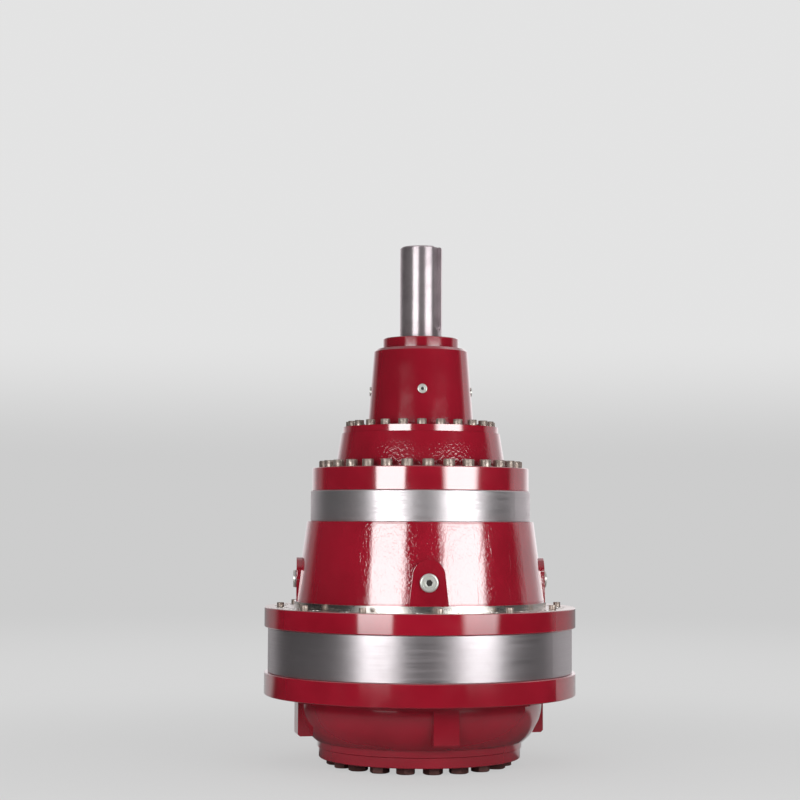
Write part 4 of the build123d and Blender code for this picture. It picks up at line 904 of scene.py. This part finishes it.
def add_softbox(
    context, name, azimuth, spread, distance, bottom, top, brightness, narrow, soft, foot, mirrored=True
):
    """An upright soft lamp that faces the axis and spans so many degrees of the circle at its top. It narrows
    to a share of its width at its foot and dims over the foot share of its height and the soft share of its
    width."""
    width = 2 * distance * tan(radians(spread / 2))
    data = bpy.data.lights.new(name, "AREA")
    data.shape = "RECTANGLE"
    data.size, data.size_y = width, top - bottom
    data.energy = pi * width * (top - bottom) * brightness
    glow = Lamp(data)
    rise = glow.part("Y")
    off = glow.node("ShaderNodeMath", {0: glow.part("X") * 2 - 1}, operation="ABSOLUTE")
    edge = 1 - glow.band(off / (narrow + (1 - narrow) * rise), 1 - soft, 1)
    strength = edge * glow.band(rise, 0, foot)
    glow.node_output(glow.node("ShaderNodeEmission", {"Strength": strength}))
    lamp = bpy.data.objects.new(name, data)
    lamp.location = studio_point(azimuth, distance, (bottom + top) / 2)
    lamp.rotation_euler = (pi / 2, 0, FRONT + radians(azimuth) + pi / 2)
    lamp.visible_camera = False
    lamp.visible_glossy = mirrored
    context.scene.collection.objects.link(lamp)


def add_ceiling_lamp(context):
    """A wide dim lamp above the gearbox that isn't mirrored in it."""
    data = bpy.data.lights.new("ceiling_lamp", "AREA")
    brightness = 0.55
    data.size = 2.0
    data.energy = pi * data.size ** 2 * brightness
    lamp = bpy.data.objects.new("ceiling_lamp", data)
    lamp.location = (0, 0, 2.4)
    lamp.visible_camera = lamp.visible_glossy = False
    context.scene.collection.objects.link(lamp)


class World(Finish):
    """The surroundings in the making."""

    def __init__(self, name):
        self.material = bpy.data.worlds.new(name)
        self.material.use_nodes = True
        self.tree = self.material.node_tree
        self.tree.nodes.clear()
        self.place = self.node("ShaderNodeTexCoord", output="Generated")

    def node_output(self, shader):
        output = self.tree.nodes.new("ShaderNodeOutputWorld")
        self.tree.links.new(shader.socket, output.inputs["Surface"])
        return self.material


def studio_world(pale):
    """A pale backdrop, paler above. In glossy faces the studio is dark but for a bright wall behind on the
    right, a dimmer one on the left and a glow above."""
    world = World("studio")
    right, left, middle = world.walls(world.place)
    height = world.part("Z")
    walls = 0.02 + 0.5 * right + 0.22 * left + 0.55 * middle + 0.35 * world.band(height, 0.55, 0.85)
    mirrored = world.ray("Glossy")
    paler = 0.91 + 0.24 * world.band(height, 0.03, 0.10)
    backdrop = world.node("ShaderNodeBackground", {"Color": pale, "Strength": paler})
    room = world.node("ShaderNodeBackground", {"Color": (1.0, 0.94, 0.96, 1), "Strength": walls})
    fill = world.node("ShaderNodeBackground", {"Color": (1, 1, 1, 1), "Strength": 0.34})
    seen = world.node("ShaderNodeMixShader", {0: mirrored, 1: backdrop, 2: room})
    direct = world.ray("Camera") + mirrored + world.ray("Transmission")
    return world.node_output(world.node("ShaderNodeMixShader", {0: direct, 1: fill, 2: seen}))


def add_floor(context, pale):
    """A pale floor that catches the gearbox's shadow and runs into the backdrop further off."""
    bm = bmesh.new()
    below = Matrix.Translation((0, 0, -0.0005))
    bmesh.ops.create_circle(bm, cap_ends=True, segments=96, radius=9.0, matrix=below)
    mesh = bpy.data.meshes.new("floor")
    bm.to_mesh(mesh)
    bm.free()
    floor = bpy.data.objects.new("floor", mesh)
    context.scene.collection.objects.link(floor)
    finish = Finish("pale_floor")
    radius = finish.radius()
    direction = finish.node("ShaderNodeVectorMath", {0: finish.place}, operation="NORMALIZE")
    right, left, middle = finish.walls(direction)
    near = finish.node("ShaderNodeBsdfDiffuse", {"Color": pale})
    dimmer = (0.91 * pale[0], 0.91 * pale[1], 0.91 * pale[2], 1)
    distant = finish.mix(finish.band(radius, 1.4, 4.5), pale, dimmer)
    far = finish.node("ShaderNodeEmission", {"Color": distant})
    dark = finish.node("ShaderNodeBsdfDiffuse", {
        "Color": finish.mix(finish.band(radius, 0.3, 0.8), (0.16, 0.145, 0.15, 1), (0.030, 0.028, 0.029, 1)),
    })
    fade = finish.ray("Camera") * (0.74 + 0.26 * finish.band(radius, 0.25, 1.3))
    faded = finish.node("ShaderNodeMixShader", {0: fade, 1: near, 2: far})
    shaded = finish.ray("Glossy") * (1 - left - right)
    finish.node_output(finish.node("ShaderNodeMixShader", {0: shaded, 1: faded, 2: dark}))
    mesh.materials.append(finish.material)


class GEARBOX_OT_studio(bpy.types.Operator):
    """Set up the floor, the lamps, the background and the camera"""

    bl_idname = "gearbox.studio"
    bl_label = "Studio"

    def execute(self, context):
        scene = context.scene
        scene.view_settings.view_transform = "Standard"
        pale = tuple(scene.gearbox_colours.floor)
        scene.world = studio_world(pale)
        add_floor(context, pale)

        add_softbox(
            context, "left_softbox", azimuth=-29.5, spread=38, distance=1.25, bottom=0, top=0.70,
            brightness=6.0, narrow=0.58, soft=0.2, foot=0.45,
        )
        add_softbox(
            context, "right_softbox", azimuth=41, spread=53, distance=1.25, bottom=0, top=0.70,
            brightness=6.0, narrow=0.40, soft=0.4, foot=0.53,
        )
        for name, azimuth in (("left_back_box", -135), ("right_back_box", 135)):
            add_softbox(
                context, name, azimuth=azimuth, spread=50, distance=2.0, bottom=0.1, top=1.5,
                brightness=1.2, narrow=1, soft=0.3, foot=0.45, mirrored=False,
            )
        add_ceiling_lamp(context)

        data = bpy.data.cameras.new("photo_camera")
        data.sensor_width = 36
        data.lens = data.sensor_width * FOCAL_LENGTH / PHOTO_WIDTH
        camera = bpy.data.objects.new("photo_camera", data)
        heading = FRONT + pi + CAMERA_PAN
        look = Vector((cos(heading) * cos(CAMERA_TILT), sin(heading) * cos(CAMERA_TILT), sin(CAMERA_TILT)))
        roll = Matrix.Rotation(CAMERA_ROLL, 3, "Z")
        camera.location = studio_point(0, CAMERA_DISTANCE, CAMERA_HEIGHT)
        camera.rotation_euler = (look.to_track_quat("-Z", "Y").to_matrix() @ roll).to_euler()
        scene.collection.objects.link(camera)
        scene.camera = camera
        return {"FINISHED"}


class GEARBOX_PT_panel(bpy.types.Panel):
    """Sidebar panel with the gearbox's sizes, colours and steps"""

    bl_label = "Planetary gearbox"
    bl_idname = "GEARBOX_PT_panel"
    bl_space_type = "VIEW_3D"
    bl_region_type = "UI"
    bl_category = "Gearbox"

    def draw(self, context):
        layout = self.layout
        for group in (context.scene.gearbox_sizes, context.scene.gearbox_colours):
            box = layout.box()
            for name in group.__annotations__:
                box.prop(group, name)
        for operator in OPERATORS:
            layout.operator(operator.bl_idname)


OPERATORS = (
    GEARBOX_OT_castings,
    GEARBOX_OT_ring_gears,
    GEARBOX_OT_input_shaft,
    GEARBOX_OT_inner_pieces,
    GEARBOX_OT_cover_screws,
    GEARBOX_OT_input_screws,
    GEARBOX_OT_flange_screws,
    GEARBOX_OT_base_screws,
    GEARBOX_OT_oil_plugs,
    GEARBOX_OT_input_plugs,
    GEARBOX_OT_studio,
)
CLASSES = (GearboxSizes, GearboxColours, *OPERATORS, GEARBOX_PT_panel)


def register():
    for each in CLASSES:
        bpy.utils.register_class(each)
    bpy.types.Scene.gearbox_sizes = PointerProperty(type=GearboxSizes)
    bpy.types.Scene.gearbox_colours = PointerProperty(type=GearboxColours)


def unregister():
    del bpy.types.Scene.gearbox_colours
    del bpy.types.Scene.gearbox_sizes
    for each in reversed(CLASSES):
        bpy.utils.unregister_class(each)


def main():
    register()
    bpy.ops.gearbox.castings()
    bpy.ops.gearbox.ring_gears()
    bpy.ops.gearbox.input_shaft()
    bpy.ops.gearbox.inner_pieces()
    bpy.ops.gearbox.cover_screws()
    bpy.ops.gearbox.input_screws()
    bpy.ops.gearbox.flange_screws()
    bpy.ops.gearbox.base_screws()
    bpy.ops.gearbox.oil_plugs()
    bpy.ops.gearbox.input_plugs()
    bpy.ops.gearbox.studio()


if __name__ == "__main__":
    main()
